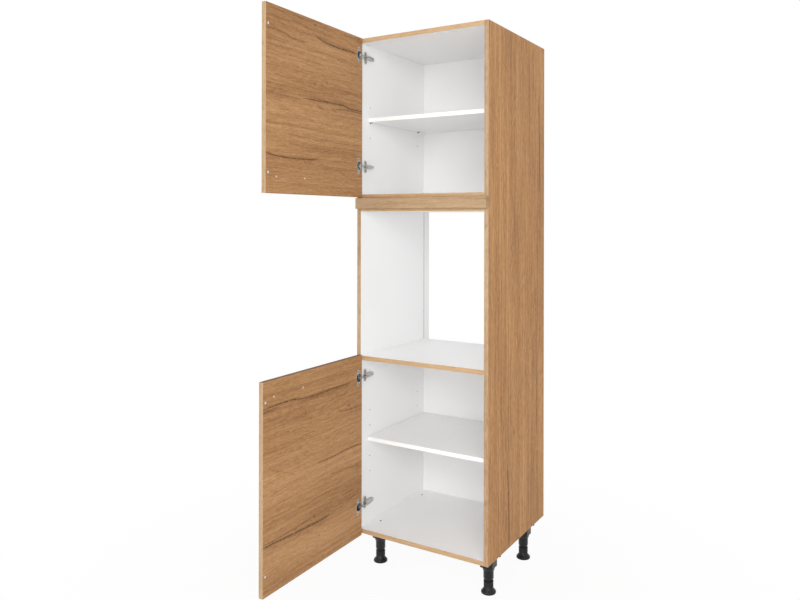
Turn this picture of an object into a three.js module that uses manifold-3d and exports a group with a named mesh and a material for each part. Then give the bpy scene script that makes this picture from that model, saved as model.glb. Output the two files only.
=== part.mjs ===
// A tall kitchen housing for a built-in oven: a carcass on levelling legs with two hinged doors, a fascia over
// the oven niche, a loose shelf in each compartment and concealed cup hinges with working links.
// Millimetres. X runs to the right, Y to the back and Z up. The origin is on the floor, in the middle of the
// width, in the plane of the closed doors' fronts. The doors stand open, as they are shown in a catalogue.

import * as THREE from 'three';
import { mergeVertices } from 'three/addons/utils/BufferGeometryUtils.js';
import Module from 'manifold-3d';

const wasm = await Module();
wasm.setup();

// ---- Carcass sizes -------------------------------------------------------------------------------------------

const unitWidth = 600;
const carcassDepth = 560;
const carcassHeight = 2040;
const legHeight = 150;
const boardThickness = 18;
const lowerClearHeight = 696;
const nicheHeight = 595;
const serviceGap = 34;

const backThickness = 3;
const backInset = 46;
const grooveDepth = 6;
const grooveClearance = 0.2;

const shelfThickness = 16;
const shelfSideGap = 1;
const shelfFrontInset = 52;
const shelfRearGap = 3;

// ---- Shelf pins and their rows of holes ----------------------------------------------------------------------

const pinRadius = 2.5;
const pinHoleDepth = 12;
const pinPegLength = 11;
const pinHoleClearance = 0.1;
const pinHolePitch = 64;
const pinFrontInset = 68;
const pinRearInset = 108;
const paddleReach = 10;
const paddleWidth = 9;
const paddleThickness = 2.5;
const paddleCornerRadius = 2;
const paddleRibWidth = 2;
const paddleRibHeight = 5;
const lowerRow = { firstHole: 219, count: 5, usedHole: 2 };
const upperRow = { firstHole: 238, count: 3, usedHole: 1 };

// ---- Doors and fascia ----------------------------------------------------------------------------------------

const doorThickness = 18;
const doorGap = 2;
const doorSideGap = 2;
const doorEdgeRadius = 1;
const revealGap = 3;
const lowerDoorDrop = 6;
const lowerDoorRise = 4;
const fasciaThickness = 18;
const fasciaHeight = 44;
const fasciaRise = 3;
const fasciaCornerRadius = 3;

const handleHoleRadius = 2.5;
const handleHoleInset = 13;
const handleHoleEndInset = 72;
const pilotHoleRadius = 1.6;
const pilotHoleDepth = 12;
const pilotSpacing = 160;
const pilotInset = 56;
const pilotEndInset = 59;

// ---- Hinge sizes ---------------------------------------------------------------------------------------------
// A place in a hinge is given for the closed door, from the inner corner of the door's hinge edge: along is the
// distance from that edge towards the door's middle, and deep is the distance behind the door's inner face.

const armLongPivot = { along: 33.54, deep: 19.46 };
const cupLongPivot = { along: 9.63, deep: -2.94 };
const armShortPivot = { along: 30.02, deep: -4.96 };
const cupShortPivot = { along: 13.98, deep: -6.94 };

// Each link turns by this share of the door's own swing, the other way round.
const longLinkShare = 0.31;
const shortLinkShare = 0.45;

const cupRadius = 17.5;
const cupCentre = 21.5;
const cupDepth = 13;
const cupWall = 1.2;
const cupSeatGap = 0.3;
const cupMouthDrop = 1.5;
const cupMouthHalfWidth = 8;
const flangeThickness = 1.1;
const flangeRimRadius = 19;
const flangeEarSpacing = 52;
const flangeEarOffset = 5.5;
const flangeEarWidth = 16;
const flangeScrewRadius = 2.2;

const longPinRadius = 1.2;
const shortPinRadius = 0.9;
const slotPinRadius = 1;
const linkBoreClearance = 0.08;
const linkEyeWall = 1.3;
const linkBandHalfWidth = 1.8;
const linkSideGap = 0.3;
const shortLinkHalfWidth = 1.5;
const noseWall = 1.2;
const longLinkWall = 1.2;
const longLinkBridge = { from: 12, to: 16, thickness: 1.2 };

// Bends of the links between their pivots, and of the arm's neck, which is measured from its pivots.
const longLinkBends = [
  { along: 14, deep: -3.3 },
  { along: 19.5, deep: -3 },
  { along: 25.5, deep: 0.3 },
  { along: 29.6, deep: 7.5 },
];
const shortLinkBends = [
  { along: 26, deep: -7.4 },
  { along: 20, deep: -8.6 },
];
const neckTipBend = { along: 3, deep: 4 };
const neckLeanBend = { along: -0.4, deep: -14 };
const neckRootBend = { along: 0, deep: -7 };
const neckOverlap = { along: 0, deep: 4 };
const neckSlotDrop = 13;

// The links turn by even shares of the door's swing, so the short link's cup pin has to wander a little. It
// runs in a slot: these are the slot's ends, measured from the pin's place with the door closed.
const slotEnds = [
  { along: 0, deep: -1.6 },
  { along: 0.7, deep: 1.1 },
];
const slotSideClearance = 0.65;

const armSeat = 19;
const armRear = 80;
const armRearHeight = 9;
const armWall = 1.2;
const armCrownRadius = 4;
const armShoulder = { run: 2, rise: 6, drop: 1 };
const armSlope = { straight: 8, bend: 35, ease: 1 };
const armInnerHalfWidth = 5;
const neckHalfWidth = 1.5;
const plateRear = 78;
const plateFront = 20;
const plateHalfWidth = 7.4;
const plateRailClearance = 0.4;
const plateRailHeight = 5;
const plateRailInset = 3;
const plateCornerRadius = 3;
const wingScrewDepth = 32;
const wingScrewSpacing = 32;
const wingWidth = 18;
const wingReach = 26;
const wingStep = 1;
const wingScrewRadius = 2.4;
const clampScrewDepth = 60;
const clampScrewRadius = 2.8;
const adjustScrewDepth = 41;
const adjustScrewRadius = 2.2;

// ---- Levelling legs ------------------------------------------------------------------------------------------

const legSideInset = 48;
const legFrontInset = 106;
const legRearInset = 112;
const socketSize = 80;
const socketCornerRadius = 10;
const socketPlateThickness = 4;
const socketBodySize = 54;
const socketBodyCornerRadius = 9;
const socketBodyHeight = 48;
const socketCollar = { topRadius: 26, endRadius: 22.5, height: 13 };
const socketBossRadius = 6;
const socketBossInset = 8.5;
const socketBossHeight = 17;
const legTubeRadius = 20;
const legTubeSeatGap = 0.3;
const legTubeEnd = 52.5;
const legTubeTaper = { height: 5, width: 2.5 };
const legTubeCrown = 6;
const legStemRadius = 15.2;
const legStemClearance = 0.1;
const legStemLength = 55;
const legSleeveRadius = 18.5;
const legSleeveTop = 46.5;
const legRing = { radius: 19.5, height: 3 };
const legBase = { radius: 29, chamfer: 2, rimHeight: 7, height: 20 };
const legFlareBend = { out: 0.35, up: 0.55 };
const legScrewRadius = 2.5;
const legScrewHeadRadius = 4.5;
const legScrewHeadHeight = 2;
const legScrewHeadBevel = 0.8;
const legScrewClearance = 0.3;

// ---- The two doors -------------------------------------------------------------------------------------------

const doorOpenAngle = { upper: 88, lower: 89 };
const upperHingeFromTop = 74;
const upperHingeFromBottom = 128;
const lowerHingeFromTop = 90;
const lowerHingeFromBottom = 123;

// ---- Worked out from the sizes above -------------------------------------------------------------------------

const carcassFront = doorThickness + doorGap;
const carcassRear = carcassFront + carcassDepth;
const sideInner = unitWidth / 2 - boardThickness;
const insideWidth = 2 * sideInner;
const carcassBottom = legHeight;
const carcassTop = carcassBottom + carcassHeight;
const bottomPanelTop = carcassBottom + boardThickness;
const ovenShelfBottom = bottomPanelTop + lowerClearHeight;
const ovenShelfTop = ovenShelfBottom + boardThickness;
const nicheCeilingBottom = ovenShelfTop + nicheHeight;
const nicheCeilingTop = nicheCeilingBottom + boardThickness;
const upperFloorBottom = nicheCeilingTop + serviceGap;
const upperFloorTop = upperFloorBottom + boardThickness;
const topPanelBottom = carcassTop - boardThickness;
const backRear = carcassRear - backInset;
const backFront = backRear - backThickness;
const doorWidth = unitWidth - 2 * doorSideGap;
const fasciaTop = upperFloorBottom + fasciaRise;
const fasciaBottom = fasciaTop - fasciaHeight;
const upperDoor = { bottom: fasciaTop + revealGap, top: carcassTop };
const lowerDoor = { bottom: carcassBottom - lowerDoorDrop, top: ovenShelfTop + lowerDoorRise };
const hingeEdge = { x: -unitWidth / 2 + doorSideGap, y: doorThickness };
const sidePanelFace = boardThickness - doorSideGap;
const noseHalfWidth = shortLinkHalfWidth + linkSideGap + noseWall;
const longLinkInner = noseHalfWidth + linkSideGap;
const longLinkOuter = longLinkInner + longLinkWall;
const armOuterHalfWidth = armInnerHalfWidth + armWall;

// A distance that reaches past every part of a hinge, for cutting tools.
const hingeReach = armRear;

// Numbers of flat sides on round shapes: large ones, pivots and small holes.
const roundSides = 16;
const fineSides = 8;
const coarseSides = 6;
const armCurveSteps = 2;

// ---- Finishes ------------------------------------------------------------------------------------------------

const oak = { color: 0xb98d63, roughness: 0.55, metalness: 0 };
const white = { color: 0xe6e7e8, roughness: 0.45, metalness: 0 };
const steel = { color: 0xb9b8b2, roughness: 0.3, metalness: 0.9 };
const blackPlastic = { color: 0x2b2b2c, roughness: 0.5, metalness: 0 };

// ---- Shape helpers -------------------------------------------------------------------------------------------

/** Turns a closed geometry into a solid that can be cut and joined. */
function solidFrom(geometry) {
  const plain = geometry.index ? geometry.toNonIndexed() : geometry.clone();
  plain.deleteAttribute('normal');
  plain.deleteAttribute('uv');
  const merged = mergeVertices(plain, 1e-4);
  const triVerts = new Uint32Array(merged.index.array);
  const vertProperties = new Float32Array(merged.attributes.position.array);
  if (signedVolume(vertProperties, triVerts) < 0) {
    flipFaces(triVerts);
  }
  return new wasm.Manifold(new wasm.Mesh({ numProp: 3, vertProperties, triVerts }));
}

/** Six times the volume inside a closed mesh, negative where its faces point inwards. */
function signedVolume(points, triangles) {
  const corners = [new THREE.Vector3(), new THREE.Vector3(), new THREE.Vector3()];
  let volume = 0;
  for (let first = 0; first < triangles.length; first += 3) {
    corners.forEach((corner, which) => corner.fromArray(points, 3 * triangles[first + which]));
    volume += corners[0].dot(corners[1].cross(corners[2]));
  }
  return volume;
}

/** Turns every triangle of a mesh round. */
function flipFaces(triangles) {
  for (let first = 0; first < triangles.length; first += 3) {
    const second = triangles[first + 1];
    triangles[first + 1] = triangles[first + 2];
    triangles[first + 2] = second;
  }
}

/** Joins solids into one. */
function joined(...solids) {
  return solids.reduce((whole, part) => whole.add(part));
}

/** Cuts solids out of a first one. */
function cut(body, ...tools) {
  return tools.reduce((rest, tool) => rest.subtract(tool), body);
}

/** A named mesh of a solid in one finish. */
function piece(name, solid, finish) {
  const mesh = solid.getMesh();
  const geometry = new THREE.BufferGeometry();
  geometry.setAttribute('position', new THREE.BufferAttribute(new Float32Array(mesh.vertProperties), 3));
  geometry.setIndex(new THREE.BufferAttribute(new Uint32Array(mesh.triVerts), 1));
  geometry.computeVertexNormals();
  const material = new THREE.MeshStandardMaterial({ ...finish, flatShading: true });
  const node = new THREE.Mesh(geometry, material);
  node.name = name;
  return node;
}

/** A block between two corners, each given as [x, y, z]. */
function block(low, high) {
  const size = high.map((value, axis) => value - low[axis]);
  const geometry = new THREE.BoxGeometry(...size);
  geometry.translate(...low.map((value, axis) => value + size[axis] / 2));
  return solidFrom(geometry);
}

/** An outline in X and Y, extruded from one height to another, with its curves in a number of steps. */
function prism(outline, low, high, steps = 3) {
  const settings = { depth: high - low, bevelEnabled: false, curveSegments: steps };
  const geometry = new THREE.ExtrudeGeometry(outline, settings);
  geometry.translate(0, 0, low);
  return solidFrom(geometry);
}

/** A round rod from one point to another, both given as [x, y, z]. */
function rod(from, to, radius, sides) {
  const start = new THREE.Vector3(...from);
  const end = new THREE.Vector3(...to);
  const geometry = new THREE.CylinderGeometry(radius, radius, start.distanceTo(end), sides);
  const direction = end.clone().sub(start).normalize();
  geometry.applyQuaternion(new THREE.Quaternion().setFromUnitVectors(new THREE.Vector3(0, 1, 0), direction));
  geometry.translate(...start.add(end).multiplyScalar(0.5).toArray());
  return solidFrom(geometry);
}

/** A body turned about the vertical line through x, y, from a profile of [radius, z] pairs. */
function turned(profile, x, y, sides) {
  const geometry = new THREE.LatheGeometry(profile.map(([radius, z]) => new THREE.Vector2(radius, z)), sides);
  geometry.rotateX(Math.PI / 2);
  geometry.translate(x, y, 0);
  return solidFrom(geometry);
}

/** A rectangle with round corners, centred on x, y. */
function roundedRectangle(x, y, width, depth, radius) {
  const left = x - width / 2;
  const right = x + width / 2;
  const near = y - depth / 2;
  const far = y + depth / 2;
  const shape = new THREE.Shape();
  shape.moveTo(left + radius, near);
  shape.lineTo(right - radius, near);
  shape.absarc(right - radius, near + radius, radius, -Math.PI / 2, 0);
  shape.lineTo(right, far - radius);
  shape.absarc(right - radius, far - radius, radius, 0, Math.PI / 2);
  shape.lineTo(left + radius, far);
  shape.absarc(left + radius, far - radius, radius, Math.PI / 2, Math.PI);
  shape.lineTo(left, near + radius);
  shape.absarc(left + radius, near + radius, radius, Math.PI, 1.5 * Math.PI);
  return shape;
}

/** A band of even width along a smooth line through the points, in a number of steps. */
function band(points, halfWidth, steps) {
  const line = new THREE.SplineCurve(points.map((point) => new THREE.Vector2(point.along, point.deep)));
  const left = [];
  const right = [];
  for (let step = 0; step <= steps; step += 1) {
    const middle = line.getPoint(step / steps);
    const direction = line.getTangent(step / steps);
    const aside = new THREE.Vector2(-direction.y, direction.x).multiplyScalar(halfWidth);
    left.push(middle.clone().add(aside));
    right.unshift(middle.clone().sub(aside));
  }
  return new THREE.Shape([...left, ...right]);
}

/** The same shape turned so that its X and Y outline stands in Y and Z, and its height runs along X. */
function standing(solid) {
  return solid.rotate([90, 0, 90]);
}

// ---- Carcass -------------------------------------------------------------------------------------------------

/** Heights of a compartment's shelf pin holes above its floor. */
function holeHeights(row, floor) {
  return Array.from({ length: row.count }, (_, hole) => floor + row.firstHole + hole * pinHolePitch);
}

const compartments = {
  upper: { row: upperRow, floor: upperFloorTop },
  lower: { row: lowerRow, floor: bottomPanelTop },
};
const pinRowDepths = { front: carcassFront + pinFrontInset, rear: carcassRear - pinRearInset };

/** One side panel, with its back panel groove and its rows of shelf pin holes. */
function sidePanel(name, side) {
  const inner = side * sideInner;
  const outer = side * (unitWidth / 2);
  const panel = block(
    [Math.min(inner, outer), carcassFront, carcassBottom],
    [Math.max(inner, outer), carcassRear, carcassTop],
  );
  const tools = [
    block(
      [inner - grooveDepth, backFront - grooveClearance, carcassBottom - 1],
      [inner + grooveDepth, backRear + grooveClearance, carcassTop + 1],
    ),
  ];
  for (const { row, floor } of Object.values(compartments)) {
    for (const z of holeHeights(row, floor)) {
      for (const y of Object.values(pinRowDepths)) {
        const radius = pinRadius + pinHoleClearance;
        tools.push(rod([inner - side, y, z], [inner + side * pinHoleDepth, y, z], radius, coarseSides));
      }
    }
  }
  return piece(name, cut(panel, ...tools), oak);
}

/** A board between the sides, as deep as the carcass, with a groove for the back in one face. */
function groovedBoard(bottom, grooveFrom, grooveTo) {
  const board = block([-sideInner, carcassFront, bottom], [sideInner, carcassRear, bottom + boardThickness]);
  const groove = block(
    [-sideInner - 1, backFront - grooveClearance, grooveFrom],
    [sideInner + 1, backRear + grooveClearance, grooveTo],
  );
  return cut(board, groove);
}

/** A board between the sides that ends in front of the back panel. */
function shortBoard(name, bottom) {
  return piece(name, block([-sideInner, carcassFront, bottom], [sideInner, backFront, bottom + boardThickness]), white);
}

/** The bottom panel, drilled over each leg. */
function bottomPanel() {
  const board = groovedBoard(carcassBottom, bottomPanelTop - grooveDepth, bottomPanelTop + 1);
  const holes = Object.values(legPlaces).map(({ x, y }) => {
    const radius = legScrewRadius + legScrewClearance;
    return rod([x, y, carcassBottom - 1], [x, y, bottomPanelTop + 1], radius, coarseSides);
  });
  return piece('bottom_panel', cut(board, ...holes), white);
}

/** A thin back panel held in the grooves of the sides. */
function backPanel(name, bottom, top) {
  const reach = sideInner + grooveDepth - grooveClearance;
  return piece(name, block([-reach, backFront, bottom], [reach, backRear, top]), white);
}

/** A loose shelf that lies on its four pins. */
function looseShelf(name, compartment) {
  const { row, floor } = compartment;
  const bottom = floor + row.firstHole + row.usedHole * pinHolePitch + pinRadius;
  const half = sideInner - shelfSideGap;
  const front = carcassFront + shelfFrontInset;
  const rear = backFront - shelfRearGap;
  return piece(name, block([-half, front, bottom], [half, rear, bottom + shelfThickness]), white);
}

/** A shelf pin: a peg in the side panel and a flat paddle with a rib, which carries the shelf. */
function shelfPin(name, side, y, z) {
  const wall = side * sideInner;
  const inward = -side;
  const peg = rod([wall - inward * pinPegLength, y, z], [wall + inward, y, z], pinRadius, coarseSides);
  const top = z + pinRadius;
  const tip = wall + inward * paddleReach;
  const paddle = prism(
    roundedRectangle((wall + tip) / 2, y, paddleReach, paddleWidth, paddleCornerRadius),
    top - paddleThickness,
    top,
    2,
  );
  const ribOutline = new THREE.Shape([
    new THREE.Vector2(wall, z - paddleRibHeight),
    new THREE.Vector2(tip - inward, top - 1),
    new THREE.Vector2(wall, top - 1),
  ]);
  const rib = prism(ribOutline, -paddleRibWidth / 2, paddleRibWidth / 2).rotate([90, 0, 0]).translate([0, y, 0]);
  return piece(name, joined(peg, paddle, rib), steel);
}

/** The four pins under a compartment's shelf. */
function shelfPins(level, compartment) {
  const { row, floor } = compartment;
  const z = floor + row.firstHole + row.usedHole * pinHolePitch;
  const pins = [];
  for (const [depth, y] of Object.entries(pinRowDepths)) {
    pins.push(shelfPin(`${level}_shelf_pin_${depth}_left`, -1, y, z));
    pins.push(shelfPin(`${level}_shelf_pin_${depth}_right`, 1, y, z));
  }
  return pins;
}

/** The strip that covers the gap between the niche's ceiling and the upper compartment's floor. */
function fascia() {
  const front = carcassFront - fasciaThickness;
  const outline = roundedRectangle(0, (front + carcassFront) / 2, doorWidth, fasciaThickness, fasciaCornerRadius);
  const strip = prism(outline, fasciaBottom, fasciaTop);
  const middle = carcassFront - fasciaCornerRadius;
  const flatRear = block([-doorWidth / 2, middle, fasciaBottom], [doorWidth / 2, carcassFront, fasciaTop]);
  return piece('fascia_strip', joined(strip, flatRear), oak);
}

// ---- Hinges --------------------------------------------------------------------------------------------------

/** The radius of a bore whose flat facets clear a round pin. */
function boreRadius(pin) {
  return (pin + linkBoreClearance) / Math.cos(Math.PI / fineSides);
}

/** A round bar along Z through a pivot, as far to one side of the middle as to the other. */
function pivotBar(pivot, half, radius) {
  return rod([pivot.along, pivot.deep, -half], [pivot.along, pivot.deep, half], radius, fineSides);
}

/** A slot or slotted eye round two points. */
function slotBar(ends, half, radius) {
  const line = prism(band(ends, radius, 1), -half, half);
  return joined(line, ...ends.map((point) => pivotBar(point, half, radius)));
}

/** The mounting plate: a base with a rail and two round-ended wings, screwed to the side panel. */
function hingePlate(name) {
  const wings = prism(
    roundedRectangle(wingScrewDepth, 0, wingWidth, 2 * wingReach, wingWidth / 2 - 0.01),
    sidePanelFace,
    armSeat - wingStep,
    2,
  );
  const length = plateRear - plateFront;
  const middle = (plateRear + plateFront) / 2;
  const baseOutline = roundedRectangle(middle, 0, length, 2 * plateHalfWidth, plateCornerRadius);
  const base = prism(baseOutline, sidePanelFace, armSeat, 1);
  const railWidth = 2 * (armInnerHalfWidth - plateRailClearance);
  const rail = block(
    [plateFront + plateRailInset, -railWidth / 2, sidePanelFace],
    [plateRear - plateRailInset, railWidth / 2, armSeat + plateRailHeight],
  );
  const screws = [-1, 1].map((end) => {
    const z = (end * wingScrewSpacing) / 2;
    const low = [wingScrewDepth, z, sidePanelFace - 1];
    return rod(low, [wingScrewDepth, z, armSeat], wingScrewRadius, coarseSides);
  });
  return piece(name, standing(cut(joined(wings, base, rail), ...screws)), steel);
}

/** The side view of the hinge arm's channel, from its open seat to its sloping back. */
function armOutline() {
  const crown = armLongPivot.along + armCrownRadius;
  const front = armLongPivot.deep;
  const outline = new THREE.Shape();
  outline.moveTo(armSeat, armRear);
  outline.lineTo(armSeat, front + armShoulder.rise);
  outline.quadraticCurveTo(
    armSeat + armShoulder.run,
    front - armShoulder.drop,
    armLongPivot.along - armCrownRadius,
    front,
  );
  outline.absarc(armLongPivot.along, front, armCrownRadius, Math.PI, 2 * Math.PI);
  outline.lineTo(crown, front + armSlope.straight);
  outline.quadraticCurveTo(
    crown - armSlope.ease,
    armRear - armSlope.bend,
    armSeat + armRearHeight,
    armRear,
  );
  return outline;
}

/** The hinge arm: a channel with a narrow neck that reaches into the cup, and the pins of both links. */
function hingeArm(name) {
  const outline = armOutline();
  const hollow = prism(outline, -armInnerHalfWidth, armInnerHalfWidth, armCurveSteps);
  const frontOpening = block(
    [armSeat, armLongPivot.deep - armCrownRadius - 1, -armInnerHalfWidth],
    [armLongPivot.along + armCrownRadius - armWall, armLongPivot.deep + 1, armInnerHalfWidth],
  );
  const screwHoles = [
    { deep: clampScrewDepth, radius: clampScrewRadius },
    { deep: adjustScrewDepth, radius: adjustScrewRadius },
  ].map(({ deep, radius }) => rod([armSeat + 3, deep, 0], [hingeReach, deep, 0], radius, coarseSides));
  const channel = cut(
    prism(outline, -armOuterHalfWidth, armOuterHalfWidth, armCurveSteps),
    hollow.translate([-armWall, 0, 0]),
    frontOpening,
    ...screwHoles,
  );
  const neckRoot = { along: armLongPivot.along + armCrownRadius - neckHalfWidth, deep: armLongPivot.deep };
  const neckLine = [
    armShortPivot,
    sum(armShortPivot, neckTipBend),
    sum(neckRoot, neckLeanBend),
    sum(neckRoot, neckRootBend),
    sum(neckRoot, neckOverlap),
  ];
  const neck = joined(
    prism(band(neckLine, neckHalfWidth, 6), -noseHalfWidth, noseHalfWidth),
    pivotBar(armShortPivot, noseHalfWidth, shortPinRadius + linkEyeWall),
    pivotBar(armLongPivot, noseHalfWidth, longPinRadius + linkEyeWall),
  );
  const slot = shortLinkHalfWidth + linkSideGap;
  const noseSlot = block([0, -hingeReach, -slot], [hingeReach, armLongPivot.deep - neckSlotDrop, slot]);
  return piece(
    name,
    joined(
      channel,
      cut(neck, noseSlot),
      pivotBar(armLongPivot, armOuterHalfWidth, longPinRadius),
      pivotBar(armShortPivot, noseHalfWidth, shortPinRadius),
    ),
    steel,
  );
}

/** The long link: two curved cheeks outside the arm's neck, with a bridge between them. */
function longLink(name) {
  const pivots = [cupLongPivot, armLongPivot];
  const outline = band([cupLongPivot, ...longLinkBends, armLongPivot], linkBandHalfWidth, 6);
  const cheeks = cut(
    joined(
      prism(outline, -longLinkOuter, longLinkOuter),
      ...pivots.map((pivot) => pivotBar(pivot, longLinkOuter, longPinRadius + linkEyeWall)),
    ),
    block([-hingeReach, -hingeReach, -longLinkInner], [hingeReach, hingeReach, longLinkInner]),
    ...pivots.map((pivot) => pivotBar(pivot, longLinkOuter + 1, boreRadius(longPinRadius))),
  );
  const middle = prism(outline, -longLinkInner, longLinkInner);
  const span = block(
    [-hingeReach, longLinkBridge.from, -longLinkInner],
    [hingeReach, longLinkBridge.to, longLinkInner],
  );
  const bridge = cut(middle.intersect(span), middle.translate([longLinkBridge.thickness, 0, 0]));
  return piece(name, joined(cheeks, bridge).translate([-armLongPivot.along, -armLongPivot.deep, 0]), steel);
}

/** The short link: a curved bar inside the arm's neck, with a slot for its pin in the cup. */
function shortLink(name) {
  const curve = [armShortPivot, ...shortLinkBends, cupShortPivot];
  const ends = slotEnds.map((end) => sum(cupShortPivot, end));
  const slotRadius = slotPinRadius + slotSideClearance;
  const body = joined(
    prism(band(curve, linkBandHalfWidth, 4), -shortLinkHalfWidth, shortLinkHalfWidth),
    pivotBar(armShortPivot, shortLinkHalfWidth, shortPinRadius + linkEyeWall),
    slotBar(ends, shortLinkHalfWidth, slotRadius + linkEyeWall),
  );
  const solid = cut(
    body,
    pivotBar(armShortPivot, shortLinkHalfWidth + 1, boreRadius(shortPinRadius)),
    slotBar(ends, shortLinkHalfWidth + 1, slotRadius),
  );
  return piece(name, solid.translate([-armShortPivot.along, -armShortPivot.deep, 0]), steel);
}

/** How far from the middle a pin across the cup ends, halfway into the cup's wall. */
function cupPinHalf(pivot) {
  const aside = pivot.along - cupCentre;
  const radius = (cupRadius - cupWall / 2) * Math.cos(Math.PI / roundSides);
  return Math.sqrt(radius * radius - aside * aside);
}

/** The cup: a steel pot with a screw flange, stub pins for the long link and a pin across for the short one. */
function hingeCup(name) {
  const flangeTop = cupSeatGap + flangeThickness;
  const inner = cupRadius - cupWall;
  const pot = turned(
    [
      [0, -cupDepth],
      [cupRadius, -cupDepth],
      [cupRadius, flangeTop],
      [inner, flangeTop],
      [inner, -cupDepth + cupWall],
      [0, -cupDepth + cupWall],
    ],
    0,
    0,
    roundSides,
  );
  const earReach = flangeEarSpacing / 2 + flangeEarWidth / 2;
  const ears = prism(
    roundedRectangle(flangeEarOffset, 0, flangeEarWidth, 2 * earReach, flangeEarWidth / 2 - 0.01),
    cupSeatGap,
    flangeTop,
    2,
  );
  const rim = rod([0, 0, cupSeatGap], [0, 0, flangeTop], flangeRimRadius, roundSides);
  const opening = rod([0, 0, -1], [0, 0, flangeTop + 1], inner, roundSides);
  const screws = [-1, 1].map((end) => {
    const y = (end * flangeEarSpacing) / 2;
    return rod([flangeEarOffset, y, 0], [flangeEarOffset, y, flangeTop + 1], flangeScrewRadius, coarseSides);
  });
  const mouth = block(
    [-flangeRimRadius - 1, -cupMouthHalfWidth, -cupMouthDrop],
    [-inner + 2, cupMouthHalfWidth, flangeTop + 1],
  );
  const plate = cut(joined(ears, rim), opening, ...screws);
  const shell = cut(joined(pot, plate), mouth).rotate([-90, 0, 0]).translate([cupCentre, 0, 0]);
  const stubEnd = longLinkInner - linkSideGap / 2;
  const gap = block([-hingeReach, -hingeReach, -stubEnd], [hingeReach, hingeReach, stubEnd]);
  const stubs = cut(pivotBar(cupLongPivot, cupPinHalf(cupLongPivot), longPinRadius), gap);
  const pin = pivotBar(cupShortPivot, cupPinHalf(cupShortPivot), slotPinRadius);
  return piece(name, joined(shell, stubs, pin), steel);
}

// ---- Doors on their hinges -----------------------------------------------------------------------------------

/** Turns a place in a hinge by an angle about the origin. */
function turnedPlace(place, angle) {
  return {
    along: place.along * Math.cos(angle) - place.deep * Math.sin(angle),
    deep: place.along * Math.sin(angle) + place.deep * Math.cos(angle),
  };
}

/** Adds two places. */
function sum(first, second) {
  return { along: first.along + second.along, deep: first.deep + second.deep };
}

/** The way from one place to another. */
function between(from, to) {
  return { along: to.along - from.along, deep: to.deep - from.deep };
}

/** How far the links are turned, and where the door's pivot is, with the door open by an angle in radians. */
function linkage(open) {
  const longTurn = longLinkShare * open;
  const shortTurn = shortLinkShare * open;
  const longCup = sum(armLongPivot, turnedPlace(between(armLongPivot, cupLongPivot), longTurn));
  return { longTurn, shortTurn, longCup };
}

/** Puts a mesh at a place in the hinge, at a height, turned about Z. */
function placed(mesh, place, height, angle) {
  mesh.position.set(hingeEdge.x + place.along, hingeEdge.y + place.deep, height);
  mesh.rotation.z = angle;
  return mesh;
}

/** A door board with cup bores and holes, in hinge places measured from its long link's cup pivot. */
function doorBoard(name, door) {
  const outline = roundedRectangle(
    doorWidth / 2,
    -doorThickness / 2,
    doorWidth,
    doorThickness,
    doorEdgeRadius,
  );
  const board = prism(outline, door.bottom, door.top);
  const bores = door.hingeHeights.map((z) => {
    return rod([cupCentre, 1, z], [cupCentre, -cupDepth - cupSeatGap, z], cupRadius + cupSeatGap, roundSides);
  });
  const through = door.handleHoles.map(({ inset, z }) => {
    return rod([doorWidth - inset, 1, z], [doorWidth - inset, -doorThickness - 1, z], handleHoleRadius, fineSides);
  });
  const pilots = door.pilotHoles.map(({ inset, z }) => {
    return rod([doorWidth - inset, 1, z], [doorWidth - inset, -pilotHoleDepth, z], pilotHoleRadius, coarseSides);
  });
  const solid = cut(board, ...bores, ...through, ...pilots);
  return piece(name, solid.translate([-cupLongPivot.along, -cupLongPivot.deep, 0]), oak);
}

/** A door with its cups, links, arms and plates, open by the door's angle. */
function hingedDoor(level, door) {
  const open = THREE.MathUtils.degToRad(door.openAngle);
  const { longTurn, shortTurn, longCup } = linkage(open);
  const parts = [placed(doorBoard(`${level}_door`, door), longCup, 0, -open)];
  door.hingeHeights.forEach((height, hinge) => {
    const place = `${level}_door_${['bottom', 'top'][hinge]}_hinge`;
    const cup = hingeCup(`${place}_cup`);
    cup.geometry.translate(-cupLongPivot.along, -cupLongPivot.deep, 0);
    parts.push(
      placed(hingePlate(`${place}_plate`), { along: 0, deep: 0 }, height, 0),
      placed(hingeArm(`${place}_arm`), { along: 0, deep: 0 }, height, 0),
      placed(longLink(`${place}_long_link`), armLongPivot, height, longTurn),
      placed(shortLink(`${place}_short_link`), armShortPivot, height, shortTurn),
      placed(cup, longCup, height, -open),
    );
  });
  return parts;
}

/** A door's through holes for handle screws and its blind pilot holes, which are near its free corners. */
function doorHoles({ bottom, top }, pilotHeight) {
  return {
    handleHoles: [
      { inset: handleHoleInset, z: top - handleHoleEndInset },
      { inset: handleHoleInset, z: bottom + handleHoleEndInset },
    ],
    pilotHoles: [
      { inset: pilotInset, z: pilotHeight },
      { inset: pilotInset + pilotSpacing, z: pilotHeight },
    ],
  };
}

const doors = {
  upper: {
    ...upperDoor,
    openAngle: doorOpenAngle.upper,
    hingeHeights: [upperDoor.bottom + upperHingeFromBottom, upperDoor.top - upperHingeFromTop],
    ...doorHoles(upperDoor, upperDoor.bottom + pilotEndInset),
  },
  lower: {
    ...lowerDoor,
    openAngle: doorOpenAngle.lower,
    hingeHeights: [lowerDoor.bottom + lowerHingeFromBottom, lowerDoor.top - lowerHingeFromTop],
    ...doorHoles(lowerDoor, lowerDoor.top - pilotEndInset),
  },
};

// ---- Legs ----------------------------------------------------------------------------------------------------

const legPlaces = {
  front_left: { x: -unitWidth / 2 + legSideInset, y: carcassFront + legFrontInset },
  front_right: { x: unitWidth / 2 - legSideInset, y: carcassFront + legFrontInset },
  rear_left: { x: -unitWidth / 2 + legSideInset, y: carcassRear - legRearInset },
  rear_right: { x: unitWidth / 2 - legSideInset, y: carcassRear - legRearInset },
};

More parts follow.
